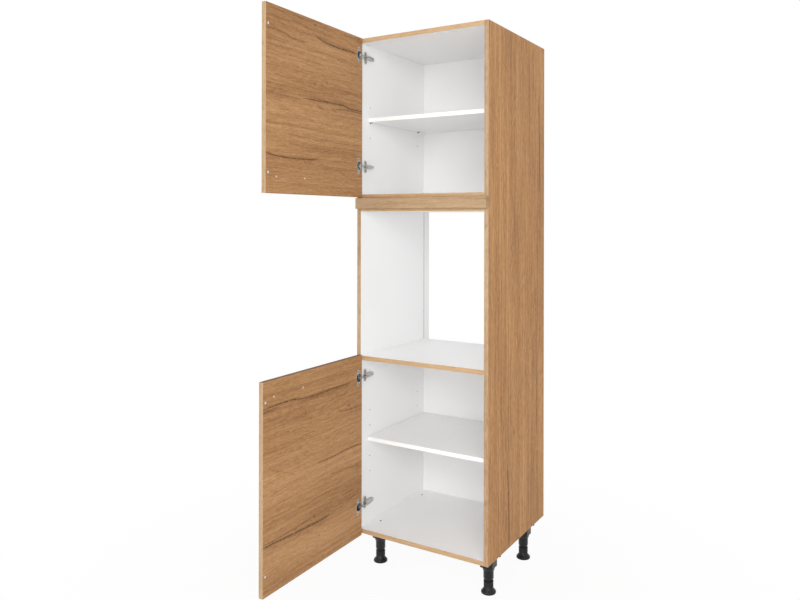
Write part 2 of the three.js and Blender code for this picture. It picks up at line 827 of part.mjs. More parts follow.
/** The socket under the bottom panel: a plate with four bosses, a square body and a collar that grips the tube. */
function legSocket(name, { x, y }) {
  const top = carcassBottom;
  const seat = top - socketPlateThickness;
  const bodyEnd = top - socketBodyHeight;
  const end = bodyEnd - socketCollar.height;
  const plateOutline = roundedRectangle(0, 0, socketSize, socketSize, socketCornerRadius);
  const bodyOutline = roundedRectangle(0, 0, socketBodySize, socketBodySize, socketBodyCornerRadius);
  const collar = turned(
    [
      [0, end],
      [socketCollar.endRadius, end],
      [socketCollar.topRadius, bodyEnd],
      [0, bodyEnd],
    ],
    0,
    0,
    roundSides,
  );
  const parts = [prism(plateOutline, seat, top, 2), prism(bodyOutline, bodyEnd, top, 2), collar];
  const reach = socketSize / 2 - socketBossInset;
  for (const across of [-reach, reach]) {
    for (const along of [-reach, reach]) {
      parts.push(rod([across, along, top - socketBossHeight], [across, along, top], socketBossRadius, coarseSides));
    }
  }
  const bore = rod([0, 0, end - 1], [0, 0, seat], legTubeRadius + legTubeSeatGap, roundSides);
  const screwHole = rod([0, 0, end], [0, 0, top + 1], legScrewRadius + legScrewClearance, coarseSides);
  return piece(name, cut(joined(...parts), bore, screwHole).translate([x, y, 0]), blackPlastic);
}

/** The leg's tube, pushed into the socket and bored for the stem of the foot. */
function legTube(name, { x, y }) {
  const top = carcassBottom - socketPlateThickness - legTubeSeatGap;
  const bore = legStemRadius + legStemClearance;
  const solid = turned(
    [
      [0, top],
      [legTubeRadius, top],
      [legTubeRadius, legTubeEnd + legTubeTaper.height],
      [legTubeRadius - legTubeTaper.width, legTubeEnd],
      [bore, legTubeEnd],
      [bore, top - legTubeCrown],
      [0, top - legTubeCrown],
    ],
    x,
    y,
    roundSides,
  );
  return piece(name, solid, blackPlastic);
}

/** The foot: a stem that screws into the tube, a sleeve with a ring to turn it by, and a flared base. */
function legFoot(name, { x, y }) {
  const stemTop = legSleeveTop + legStemLength;
  const flare = legBase.radius - legSleeveRadius;
  const flareHeight = legBase.height - legBase.rimHeight;
  const solid = turned(
    [
      [0, 0],
      [legBase.radius - legBase.chamfer, 0],
      [legBase.radius, legBase.chamfer],
      [legBase.radius, legBase.rimHeight],
      [legSleeveRadius + legFlareBend.out * flare, legBase.rimHeight + legFlareBend.up * flareHeight],
      [legSleeveRadius, legBase.height],
      [legSleeveRadius, legSleeveTop - legRing.height],
      [legRing.radius, legSleeveTop - legRing.height],
      [legRing.radius, legSleeveTop],
      [legStemRadius, legSleeveTop],
      [legStemRadius, stemTop],
      [0, stemTop],
    ],
    x,
    y,
    roundSides,
  );
  return piece(name, solid, blackPlastic);
}

/** The screw that holds a leg's socket, put in from inside the compartment. */
function legScrew(name, { x, y }) {
  const tip = carcassBottom - socketPlateThickness - legTubeSeatGap / 2;
  const solid = turned(
    [
      [0, tip],
      [legScrewRadius, tip],
      [legScrewRadius, bottomPanelTop],
      [legScrewHeadRadius, bottomPanelTop],
      [legScrewHeadRadius - legScrewHeadBevel, bottomPanelTop + legScrewHeadHeight],
      [0, bottomPanelTop + legScrewHeadHeight],
    ],
    x,
    y,
    coarseSides,
  );
  return piece(name, solid, steel);
}

// ---- The whole unit ------------------------------------------------------------------------------------------

const unit = new THREE.Group();
unit.add(
  sidePanel('side_panel_left', -1),
  sidePanel('side_panel_right', 1),
  piece('top_panel', groovedBoard(topPanelBottom, topPanelBottom - 1, topPanelBottom + grooveDepth), white),
  bottomPanel(),
  shortBoard('oven_shelf', ovenShelfBottom),
  shortBoard('niche_ceiling', nicheCeilingBottom),
  shortBoard('upper_compartment_floor', upperFloorBottom),
  backPanel('upper_back_panel', upperFloorBottom, topPanelBottom + grooveDepth - grooveClearance),
  backPanel('lower_back_panel', bottomPanelTop - grooveDepth + grooveClearance, ovenShelfTop),
  looseShelf('upper_shelf', compartments.upper),
  looseShelf('lower_shelf', compartments.lower),
  ...shelfPins('upper', compartments.upper),
  ...shelfPins('lower', compartments.lower),
  fascia(),
  ...hingedDoor('upper', doors.upper),
  ...hingedDoor('lower', doors.lower),
);
for (const [corner, place] of Object.entries(legPlaces)) {
  unit.add(
    legSocket(`${corner}_leg_socket`, place),
    legTube(`${corner}_leg_tube`, place),
    legFoot(`${corner}_leg_foot`, place),
    legScrew(`${corner}_leg_screw`, place),
  );
}

export default unit;
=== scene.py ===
"""A tall kitchen housing for a built-in oven, dressed for rendering.

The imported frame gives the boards, hinges and legs their places. Each sub-assembly is a class that
holds its own sizes, builds its meshes in metres and gives them their finishes, all of them procedural.
"""

from __future__ import annotations

import logging
import math
from dataclasses import dataclass, field
from enum import Enum
from functools import cache
from typing import Iterable, Sequence

import bmesh
import bpy
from mathutils import Matrix, Vector

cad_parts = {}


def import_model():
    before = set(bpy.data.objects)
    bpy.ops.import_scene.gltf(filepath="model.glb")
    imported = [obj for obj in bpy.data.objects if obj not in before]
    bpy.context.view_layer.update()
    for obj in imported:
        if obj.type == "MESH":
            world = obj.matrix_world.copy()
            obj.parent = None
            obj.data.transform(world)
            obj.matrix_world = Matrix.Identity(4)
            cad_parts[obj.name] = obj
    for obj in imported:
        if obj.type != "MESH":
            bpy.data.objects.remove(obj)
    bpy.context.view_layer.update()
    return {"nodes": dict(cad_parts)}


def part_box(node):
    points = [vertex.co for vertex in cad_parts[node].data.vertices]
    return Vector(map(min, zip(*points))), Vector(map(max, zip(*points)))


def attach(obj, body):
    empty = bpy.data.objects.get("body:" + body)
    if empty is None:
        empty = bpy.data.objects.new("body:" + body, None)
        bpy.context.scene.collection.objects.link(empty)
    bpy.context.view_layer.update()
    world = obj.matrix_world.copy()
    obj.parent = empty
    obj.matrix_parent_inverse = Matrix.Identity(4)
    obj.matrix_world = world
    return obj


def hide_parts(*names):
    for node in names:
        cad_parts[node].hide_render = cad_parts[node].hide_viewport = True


LOG = logging.getLogger("oven_housing")
MM = 0.001
SIDES = ("-x", "+x", "-y", "+y", "-z", "+z")
UP = Vector((0, 0, 1))

Socket = bpy.types.NodeSocket
Colour = tuple[float, float, float, float]
Place = tuple[float, float]
Triple = tuple[float, float, float]


def srgb(red: int, green: int, blue: int) -> Colour:
    """A colour as shaders take it.

    Args:
        red: Screen value from 0 to 255.
        green: Screen value from 0 to 255.
        blue: Screen value from 0 to 255.

    Returns:
        Linear red, green and blue, and an alpha of 1.
    """

    def linear(value: int) -> float:
        """One screen value as a linear one."""
        part = value / 255
        return part / 12.92 if part <= 0.04045 else ((part + 0.055) / 1.055) ** 2.4

    return (linear(red), linear(green), linear(blue), 1.0)


# ---- Node trees ---------------------------------------------------------------------------------


class TreeSketch:
    """Short hand for a node tree of any kind."""

    def __init__(self, tree: bpy.types.NodeTree) -> None:
        """Starts on a tree.

        Args:
            tree: The node tree to build in.
        """
        self.tree = tree

    def feed(self, socket: Socket, value: object) -> None:
        """Links a socket or writes a plain value into it.

        Args:
            socket: The input to feed.
            value: Another socket, a list of them for an input of many, a number or a tuple.
        """
        if isinstance(value, (Socket, list)):
            for source in value if isinstance(value, list) else [value]:
                self.tree.links.new(source, socket)
        else:
            socket.default_value = value

    def node(self, kind: str, feeds: dict | None = None, **settings: object) -> bpy.types.Node:
        """Adds a node.

        Args:
            kind: The node's type name.
            feeds: What goes into its inputs, by their names or places.
            **settings: Attributes to set on it.

        Returns:
            The new node.
        """
        made = self.tree.nodes.new(kind)
        for name, value in settings.items():
            setattr(made, name, value)
        for key, value in (feeds or {}).items():
            self.feed(made.inputs[key], value)
        return made

    def first(self, kind: str, feeds: dict | None = None, **settings: object) -> Socket:
        """Adds a node, as `node` does, and gives its first output."""
        return self.node(kind, feeds, **settings).outputs[0]

    def math(self, operation: str, one: object, other: object = 0.0, clamp: bool = False) -> Socket:
        """One sum of two numbers.

        Args:
            operation: Blender's name of the operation.
            one: A socket or a number.
            other: A socket or a number.
            clamp: Whether the result stays between 0 and 1.

        Returns:
            The result's socket.
        """
        return self.first("ShaderNodeMath", {0: one, 1: other}, operation=operation, use_clamp=clamp)

    def plus(self, one: object, other: object) -> Socket:
        """The sum of two numbers."""
        return self.math("ADD", one, other)

    def minus(self, one: object, other: object) -> Socket:
        """The first number less the other."""
        return self.math("SUBTRACT", one, other)

    def times(self, one: object, other: object) -> Socket:
        """The product of two numbers."""
        return self.math("MULTIPLY", one, other)

    def vector(self, x: object = 0.0, y: object = 0.0, z: object = 0.0) -> Socket:
        """Three numbers as a vector."""
        return self.first("ShaderNodeCombineXYZ", {"X": x, "Y": y, "Z": z})


class ShaderSketch(TreeSketch):
    """Short hand for a shader node tree, in a material, a world or a group."""

    def noise(self, place: object, octaves: float) -> Socket:
        """Soft noise round 0.5, at a place that is already scaled."""
        return self.first("ShaderNodeTexNoise", {"Vector": place, "Scale": 1.0, "Detail": octaves})

    def line_noise(self, place: object, octaves: float = 2.0) -> Socket:
        """Noise round 0.5 along a line, at a place that is already scaled."""
        feeds = {"W": place, "Scale": 1.0, "Detail": octaves}
        return self.first("ShaderNodeTexNoise", feeds, noise_dimensions="1D")

    def remap(
        self, value: object, low: float, high: float, to_low: float = 0.0, to_high: float = 1.0
    ) -> Socket:
        """Stretches a range of a value onto another one, and stops at its ends."""
        feeds = {"Value": value, "From Min": low, "From Max": high, "To Min": to_low, "To Max": to_high}
        return self.node("ShaderNodeMapRange", feeds, interpolation_type="SMOOTHSTEP").outputs["Result"]

    def blend(self, share: object, base: object, other: object) -> Socket:
        """Mixes two colours.

        Args:
            share: How much of the other colour, as a socket or number.
            base: A colour or its socket.
            other: A colour or its socket.

        Returns:
            The mixed colour's socket.
        """
        # The inputs of a Mix node share their names, so the two colours go by their places.
        feeds = {"Factor": share, 6: base, 7: other}
        return self.node("ShaderNodeMix", feeds, data_type="RGBA").outputs[2]

    def ramp(self, value: object, stops: Sequence[tuple[float, Colour]]) -> Socket:
        """A colour ramp.

        Args:
            value: The value that picks the colour.
            stops: Pairs of place and colour.

        Returns:
            The colour's socket.
        """
        made = self.node("ShaderNodeValToRGB", {"Fac": value})
        points = made.color_ramp.elements
        while len(points) < len(stops):
            points.new(1.0)
        for point, (place, colour) in zip(points, stops):
            point.position = place
            point.color = colour
        return made.outputs["Color"]

    def curve(self, value: object, points: Sequence[Place]) -> Socket:
        """A smooth curve through points.

        Args:
            value: The socket of the place from 0 to 1.
            points: Pairs of place and height, both from 0 to 1.

        Returns:
            The height's socket.
        """
        made = self.node("ShaderNodeFloatCurve", {"Value": value})
        line = made.mapping.curves[0]
        while len(line.points) < len(points):
            line.points.new(0.5, 0.5)
        for index, place in enumerate(points):
            line.points[index].location = place
        made.mapping.update()
        return made.outputs["Value"]

    def scaled(self, place: object, scale: float) -> Socket:
        """A place times a number."""
        return self.first("ShaderNodeVectorMath", {0: place, "Scale": scale}, operation="SCALE")

    def bump(self, height: object, strength: float, distance: float) -> Socket:
        """A bumped normal, with the metres that a height of 1 stands for as its distance."""
        feeds = {"Strength": strength, "Distance": distance, "Height": height}
        return self.first("ShaderNodeBump", feeds)


def new_group(name: str, numbers: Sequence[str], results: Sequence[str]) -> ShaderSketch:
    """Starts a shader node group.

    Args:
        name: The group's name.
        numbers: Names of its number inputs.
        results: Names of its number outputs.

    Returns:
        The group's sketch, still without nodes.
    """
    tree = bpy.data.node_groups.new(name, "ShaderNodeTree")
    for way, labels in (("INPUT", numbers), ("OUTPUT", results)):
        for label in labels:
            tree.interface.new_socket(label, in_out=way, socket_type="NodeSocketFloat")
    return ShaderSketch(tree)


@cache
def crack_group() -> bpy.types.NodeTree:
    """The group that draws one wandering crack of the oak print along a curve.

    Returns:
        The node group, made once.
    """
    swings = ((14.0, 2.4), (85.0, 1.0))
    taper_gain = 9.0
    break_scale, break_octaves, break_floor, break_gain = 60.0, 3.0, 0.26, 2.4
    core_power, halo_reach, halo_share = 0.6, 3.2, 0.42
    least = 1e-6
    names = ("Along", "Across", "Share", "Middle", "Width", "Wander", "Seed")
    sketch = new_group("oak_crack", names, ("Mask",))
    given = sketch.node("NodeGroupInput").outputs
    along, across, share, middle, width, wander, seed = (given[name] for name in names)
    for scale, weight in swings:
        place = sketch.plus(sketch.times(along, scale), seed)
        swing = sketch.times(sketch.minus(sketch.line_noise(place), 0.5), weight)
        middle = sketch.plus(middle, sketch.times(swing, wander))
    far = sketch.math("ABSOLUTE", sketch.minus(across, middle))
    ends = sketch.math("MINIMUM", share, sketch.minus(1.0, share))
    broad = sketch.times(width, sketch.math("MULTIPLY", ends, taper_gain, clamp=True))
    place = sketch.plus(sketch.times(along, break_scale), seed)
    gaps = sketch.minus(sketch.line_noise(place, break_octaves), break_floor)
    narrow = sketch.times(broad, sketch.math("MULTIPLY", gaps, break_gain, clamp=True))
    shares = []
    for reach in (narrow, sketch.times(broad, halo_reach)):
        part = sketch.math("DIVIDE", far, sketch.math("MAXIMUM", reach, least))
        shares.append(sketch.math("SUBTRACT", 1.0, part, clamp=True))
    core, halo = shares
    core = sketch.math("POWER", core, core_power)
    halo = sketch.times(sketch.times(halo, halo), halo_share)
    sketch.node("NodeGroupOutput", {"Mask": sketch.math("MAXIMUM", core, halo)})
    return sketch.tree


@cache
def knot_group() -> bpy.types.NodeTree:
    """The group that draws one knot of the oak print and bends the grain round it.

    Returns:
        The node group, made once.
    """
    stretch, ragged_octaves, ragged = 2.0, 2.0, 0.8
    rim, heart = 1.35, 0.45
    fade, push = -0.16, -0.9
    names = ("Along", "Across", "Centre along", "Centre across", "Radius", "Seed")
    sketch = new_group("oak_knot", names, ("Mask", "Shift"))
    given = sketch.node("NodeGroupInput").outputs
    along, across, centre_along, centre_across, radius, seed = (given[name] for name in names)
    ahead = sketch.math("DIVIDE", sketch.minus(along, centre_along), sketch.times(radius, stretch))
    aside = sketch.math("DIVIDE", sketch.minus(across, centre_across), radius)
    square = sketch.plus(sketch.times(ahead, ahead), sketch.times(aside, aside))
    noise = sketch.noise(sketch.vector(sketch.times(ahead, stretch), aside, seed), ragged_octaves)
    far = sketch.plus(sketch.math("SQRT", square), sketch.times(noise, ragged))
    fall = sketch.math("EXPONENT", sketch.times(square, fade))
    shift = sketch.times(sketch.times(sketch.times(aside, radius), fall), push)
    sketch.node("NodeGroupOutput", {"Mask": sketch.remap(far, rim, heart), "Shift": shift})
    return sketch.tree


# ---- Finishes -----------------------------------------------------------------------------------


def bare_material(name: str) -> tuple[bpy.types.Material, ShaderSketch]:
    """Starts a material.

    Args:
        name: Its name.

    Returns:
        The material and the sketch of its empty tree.
    """
    made = bpy.data.materials.new(name)
    made.use_nodes = True
    made.node_tree.nodes.clear()
    return made, ShaderSketch(made.node_tree)


class Grain(Enum):
    """The way that the grain of a board runs at rest, with the way across it in its widest face."""

    UPRIGHT = ("Z", "Y")
    ACROSS = ("X", "Z")
    INWARD = ("Y", "Z")


@dataclass(frozen=True)
class Crack:
    """A dark split in the oak print, along a smooth curve.

    The path's places are metres along and across the grain, in the frame's own coordinates.
    """

    path: tuple[Place, ...]
    width: float
    wander: float
    strength: float


@dataclass(frozen=True)
class Knot:
    """A knot in the oak print, by its place along and across the grain."""

    centre: Place
    radius: float
    strength: float


def cracks(*rows: tuple) -> tuple[Crack, ...]:
    """Cracks as the palette writes them.

    Args:
        *rows: Width, wander, strength and the places of each path, lengths in millimetres.

    Returns:
        The cracks.
    """
    made = []
    for width, wander, strength, *path in rows:
        places = tuple((along * MM, across * MM) for along, across in path)
        made.append(Crack(places, width * MM, wander * MM, strength))
    return tuple(made)


def knots(*rows: tuple) -> tuple[Knot, ...]:
    """Knots as the palette writes them.

    Args:
        *rows: Radius, strength and centre of each, lengths in millimetres.

    Returns:
        The knots.
    """
    made = []
    for radius, strength, (along, across) in rows:
        made.append(Knot((along * MM, across * MM), radius * MM, strength))
    return tuple(made)


@dataclass(frozen=True)
class Streaks:
    """A layer of the oak print's noise: streaks in a metre along and across, octaves and weight."""

    along: float
    across: float
    octaves: float
    weight: float


@dataclass(frozen=True)
class Finish:
    """A surface finish, made into one material when it is first asked for."""

    name: str

    def material(self) -> bpy.types.Material:
        """The finish's material.

        Returns:
            The material, built on the first call.
        """
        found = bpy.data.materials.get(self.name)
        if found:
            return found
        made, sketch = bare_material(self.name)
        shader = sketch.first("ShaderNodeBsdfPrincipled", self.draw(sketch))
        sketch.node("ShaderNodeOutputMaterial", {"Surface": shader})
        return made

    def draw(self, sketch: ShaderSketch) -> dict[str, object]:
        """Draws the finish.

        Args:
            sketch: The material's tree.

        Returns:
            What goes into the Principled shader, by the names of its inputs.
        """
        raise NotImplementedError

    @staticmethod
    def place(sketch: ShaderSketch) -> Socket:
        """The place on the piece, in the frame's metres."""
        return sketch.node("ShaderNodeTexCoord").outputs["Object"]

    @staticmethod
    def spread(sketch: ShaderSketch, noise: object, ends: Place) -> Socket:
        """A roughness that a noise spreads between two values."""
        return sketch.remap(noise, 0.3, 0.7, *ends)


@dataclass(frozen=True)
class OakPrint(Finish):
    """Printed oak decor with broad figure, streaks, pores, cracks and knots."""

    grain: Grain = Grain.UPRIGHT
    light: Colour = srgb(204, 158, 112)
    middle: Colour = srgb(176, 131, 86)
    dark: Colour = srgb(141, 98, 60)
    cracks: tuple[Crack, ...] = ()
    knots: tuple[Knot, ...] = ()
    seed: float = 0.0
    contrast: float = 1.0
    flow: float = 0.03
    split: Colour = srgb(84, 48, 26)
    pore: Colour = srgb(122, 82, 50)
    clouds: Streaks = Streaks(0.9, 7.0, 2.0, 0.42)
    streaks: Streaks = Streaks(1.1, 78.0, 5.0, 0.38)
    fibres: Streaks = Streaks(11.0, 430.0, 3.0, 0.5)
    speckles: Streaks = Streaks(55.0, 210.0, 2.0, 0.34)
    pores: Streaks = Streaks(30.0, 330.0, 2.0, 0.42)
    figure_weight: float = 0.05
    tones: Triple = (0.28, 0.5, 0.72)
    pore_edge: Place = (0.58, 0.74)
    gloss: Place = (0.5, 0.64)
    relief: float = 0.12 * MM
    curve_margin: float = 5 * MM

    def draw(self, sketch: ShaderSketch) -> dict[str, object]:
        """Draws the print from its broad figure to fine pores.

        Args:
            sketch: The material's tree.

        Returns:
            The Principled shader's inputs.
        """
        parts = sketch.node("ShaderNodeSeparateXYZ", {0: self.place(sketch)})
        by_name = dict(zip("XYZ", parts.outputs))
        along, across = (by_name[axis] for axis in self.grain.value)
        (third,) = [by_name[axis] for axis in "XYZ" if axis not in self.grain.value]
        bent, marks = self.bend(sketch, along, across)
        layers = (self.clouds, self.streaks, self.fibres, self.speckles, self.pores)
        *noises, dashes = (self.layer(sketch, along, bent, third, layer) for layer in layers)
        weights = [layer.weight for layer in layers[:-1]] + [self.figure_weight]
        tone: object = 0.5
        for value, weight in zip((*noises, self.figure(sketch, along, bent)), weights):
            tone = sketch.plus(tone, sketch.times(sketch.minus(value, 0.5), weight * self.contrast))
        colour = sketch.ramp(tone, tuple(zip(self.tones, (self.dark, self.middle, self.light))))
        pits = sketch.remap(dashes, *self.pore_edge)
        colour = sketch.blend(sketch.times(pits, self.pores.weight), colour, self.pore)
        for index, crack in enumerate(self.cracks):
            mask = self.crack_mask(sketch, along, across, crack, self.seed + 3.7 * index)
            marks = mask if marks is None else sketch.math("MAXIMUM", marks, mask)
        depth = sketch.times(pits, -1.0)
        if marks is not None:
            colour = sketch.blend(marks, colour, self.split)
            depth = sketch.minus(depth, marks)
        return {
            "Base Color": colour,
            "Roughness": self.spread(sketch, noises[2], self.gloss),
            "Specular IOR Level": 0.3,
            "Normal": sketch.bump(depth, 0.5, self.relief),
        }

    def figure(self, sketch: ShaderSketch, along: object, across: object) -> Socket:
        """The wavy growth lines: contours of a long soft hill field.

        Args:
            sketch: The material's tree.
            along: Place along the grain.
            across: Bent place across the grain.

        Returns:
            The socket of a value that is low on the dark lines.
        """
        slow, quick, contours, lines = 1.7, 5.0, 60.0, 150.0
        place = sketch.vector(sketch.times(along, slow), sketch.times(across, quick), self.seed + 5.0)
        hills = sketch.times(sketch.noise(place, 1.0), contours)
        phase = sketch.math("SINE", sketch.plus(hills, sketch.times(across, lines)))
        return sketch.plus(sketch.math("ABSOLUTE", phase), -0.1)

    def bend(self, sketch: ShaderSketch, along: object, across: object) -> tuple[Socket, Socket | None]:
        """Lets the grain wander and flow round the knots.

        Args:
            sketch: The material's tree.
            along: Place along the grain.
            across: Place across the grain.

        Returns:
            The bent place across the grain, and the mask of all knots, or None where there are none.
        """
        slow, quick = 1.6, 4.0
        place = sketch.vector(sketch.times(along, slow), sketch.times(across, quick), self.seed)
        wander = sketch.times(sketch.minus(sketch.noise(place, 1.0), 0.5), self.flow)
        bent = sketch.plus(across, wander)
        masks = None
        for index, knot in enumerate(self.knots):
            group = sketch.node("ShaderNodeGroup", node_tree=knot_group())
            values = (along, across, *knot.centre, knot.radius, self.seed + index)
            for socket, value in zip(group.inputs, values):
                sketch.feed(socket, value)
            bent = sketch.plus(bent, group.outputs["Shift"])
            mask = sketch.times(group.outputs["Mask"], knot.strength)
            masks = mask if masks is None else sketch.math("MAXIMUM", masks, mask)
        return bent, masks

    def layer(
        self, sketch: ShaderSketch, along: object, across: object, third: object, size: Streaks
    ) -> Socket:
        """One layer of streaks.

        Args:
            sketch: The material's tree.
            along: Place along the grain.
            across: Bent place across the grain.
            third: Place square to the board's face.
            size: The layer's streaks.

        Returns:
            The socket of a value round 0.5.
        """
        place = sketch.vector(
            sketch.plus(sketch.times(along, size.along), 11.0 * self.seed),
            sketch.times(across, size.across),
            sketch.times(third, size.across / 2),
        )
        return sketch.noise(place, size.octaves)

    def crack_mask(
        self, sketch: ShaderSketch, along: object, across: object, crack: Crack, seed: float
    ) -> Socket:
        """The mask of one crack: a curve through its path, drawn by the crack group.

        Args:
            sketch: The material's tree.
            along: Place along the grain.
            across: Place across the grain.
            crack: The crack.
            seed: Where its noise starts.

        Returns:
            The mask's socket.
        """
        path = sorted(crack.path)
        start, length = path[0][0], path[-1][0] - path[0][0]
        floor = min(place[1] for place in path) - self.curve_margin
        rise = max(place[1] for place in path) + self.curve_margin - floor
        share = sketch.math("DIVIDE", sketch.minus(along, start), length)
        points = [((place[0] - start) / length, (place[1] - floor) / rise) for place in path]
        middle = sketch.plus(sketch.times(sketch.curve(share, points), rise), floor)
        group = sketch.node("ShaderNodeGroup", node_tree=crack_group())
        values = (along, across, share, middle, crack.width, crack.wander, seed)
        for socket, value in zip(group.inputs, values):
            sketch.feed(socket, value)
        return sketch.times(group.outputs["Mask"], crack.strength)


@dataclass(frozen=True)
class WhiteFilm(Finish):
    """White melamine film with a fine pearl texture."""

    colour: Colour = srgb(250, 250, 250)
    cloudy: Colour = srgb(247, 247, 247)
    clouds: float = 6.0
    pearls: float = 2200.0
    gloss: Place = (0.38, 0.48)
    relief: float = 0.03 * MM

    def draw(self, sketch: ShaderSketch) -> dict[str, object]:
        """Draws a near even white with a slight bloom in its gloss.

        Args:
            sketch: The material's tree.

        Returns:
            The Principled shader's inputs.
        """
        place = self.place(sketch)
        cloud = sketch.noise(sketch.scaled(place, self.clouds), 3.0)
        fine = sketch.noise(sketch.scaled(place, self.pearls), 2.0)
        return {
            "Base Color": sketch.blend(cloud, self.colour, self.cloudy),
            "Roughness": self.spread(sketch, cloud, self.gloss),
            "Normal": sketch.bump(fine, 0.15, self.relief),
        }


@dataclass(frozen=True)
class ChipCore(Finish):
    """Bare chipboard, seen in drilled holes and on cut ends."""

    chips: tuple[Colour, ...] = (srgb(133, 104, 72), srgb(176, 143, 104), srgb(205, 176, 136))
    scale: float = 420.0
    relief: float = 0.2 * MM

    def draw(self, sketch: ShaderSketch) -> dict[str, object]:
        """Draws pressed chips of several browns.

        Args:
            sketch: The material's tree.

        Returns:
            The Principled shader's inputs.
        """
        cells = sketch.node("ShaderNodeTexVoronoi", {"Vector": self.place(sketch), "Scale": self.scale})
        tint = sketch.first("ShaderNodeSeparateXYZ", {0: cells.outputs["Color"]})
        return {
            "Base Color": sketch.ramp(tint, tuple(zip((0.0, 0.5, 1.0), self.chips))),
            "Roughness": 0.85,
            "Normal": sketch.bump(cells.outputs["Distance"], 0.5, self.relief),
        }


@dataclass(frozen=True)
class PlatedMetal(Finish):
    """Plated steel with faint handling marks."""

    colour: Colour = srgb(208, 207, 202)
    gloss: Place = (0.28, 0.42)
    clouds: float = 180.0
    dulled: float = 0.8
    relief: float = 0.05 * MM

    def draw(self, sketch: ShaderSketch) -> dict[str, object]:
        """Draws bright metal whose gloss varies in small clouds.

        Args:
            sketch: The material's tree.

        Returns:
            The Principled shader's inputs.
        """
        cloud = sketch.noise(sketch.scaled(self.place(sketch), self.clouds), 4.0)
        dull = (*(self.dulled * part for part in self.colour[:3]), 1.0)
        return {
            "Base Color": sketch.blend(sketch.remap(cloud, 0.4, 0.7), self.colour, dull),
            "Metallic": 1.0,
            "Roughness": self.spread(sketch, cloud, self.gloss),
            "Normal": sketch.bump(cloud, 0.12, self.relief),
        }


@dataclass(frozen=True)
class MouldedPlastic(Finish):
    """Black moulded plastic with a fine spark-eroded grain."""

    colour: Colour = srgb(20, 20, 21)
    rubbed: Colour = srgb(32, 32, 33)
    patches: float = 60.0
    grains: float = 1800.0
    gloss: Place = (0.3, 0.42)
    relief: float = 0.05 * MM

    def draw(self, sketch: ShaderSketch) -> dict[str, object]:
        """Draws dark plastic with a fine grain and slightly rubbed patches.

        Args:
            sketch: The material's tree.

        Returns:
            The Principled shader's inputs.
        """
        place = self.place(sketch)
        patch = sketch.noise(sketch.scaled(place, self.patches), 3.0)
        grain = sketch.noise(sketch.scaled(place, self.grains), 3.0)
        return {
            "Base Color": sketch.blend(sketch.remap(patch, 0.45, 0.75), self.colour, self.rubbed),
            "Roughness": self.spread(sketch, patch, self.gloss),
            "Specular IOR Level": 0.3,
            "Normal": sketch.bump(grain, 0.25, self.relief),
        }


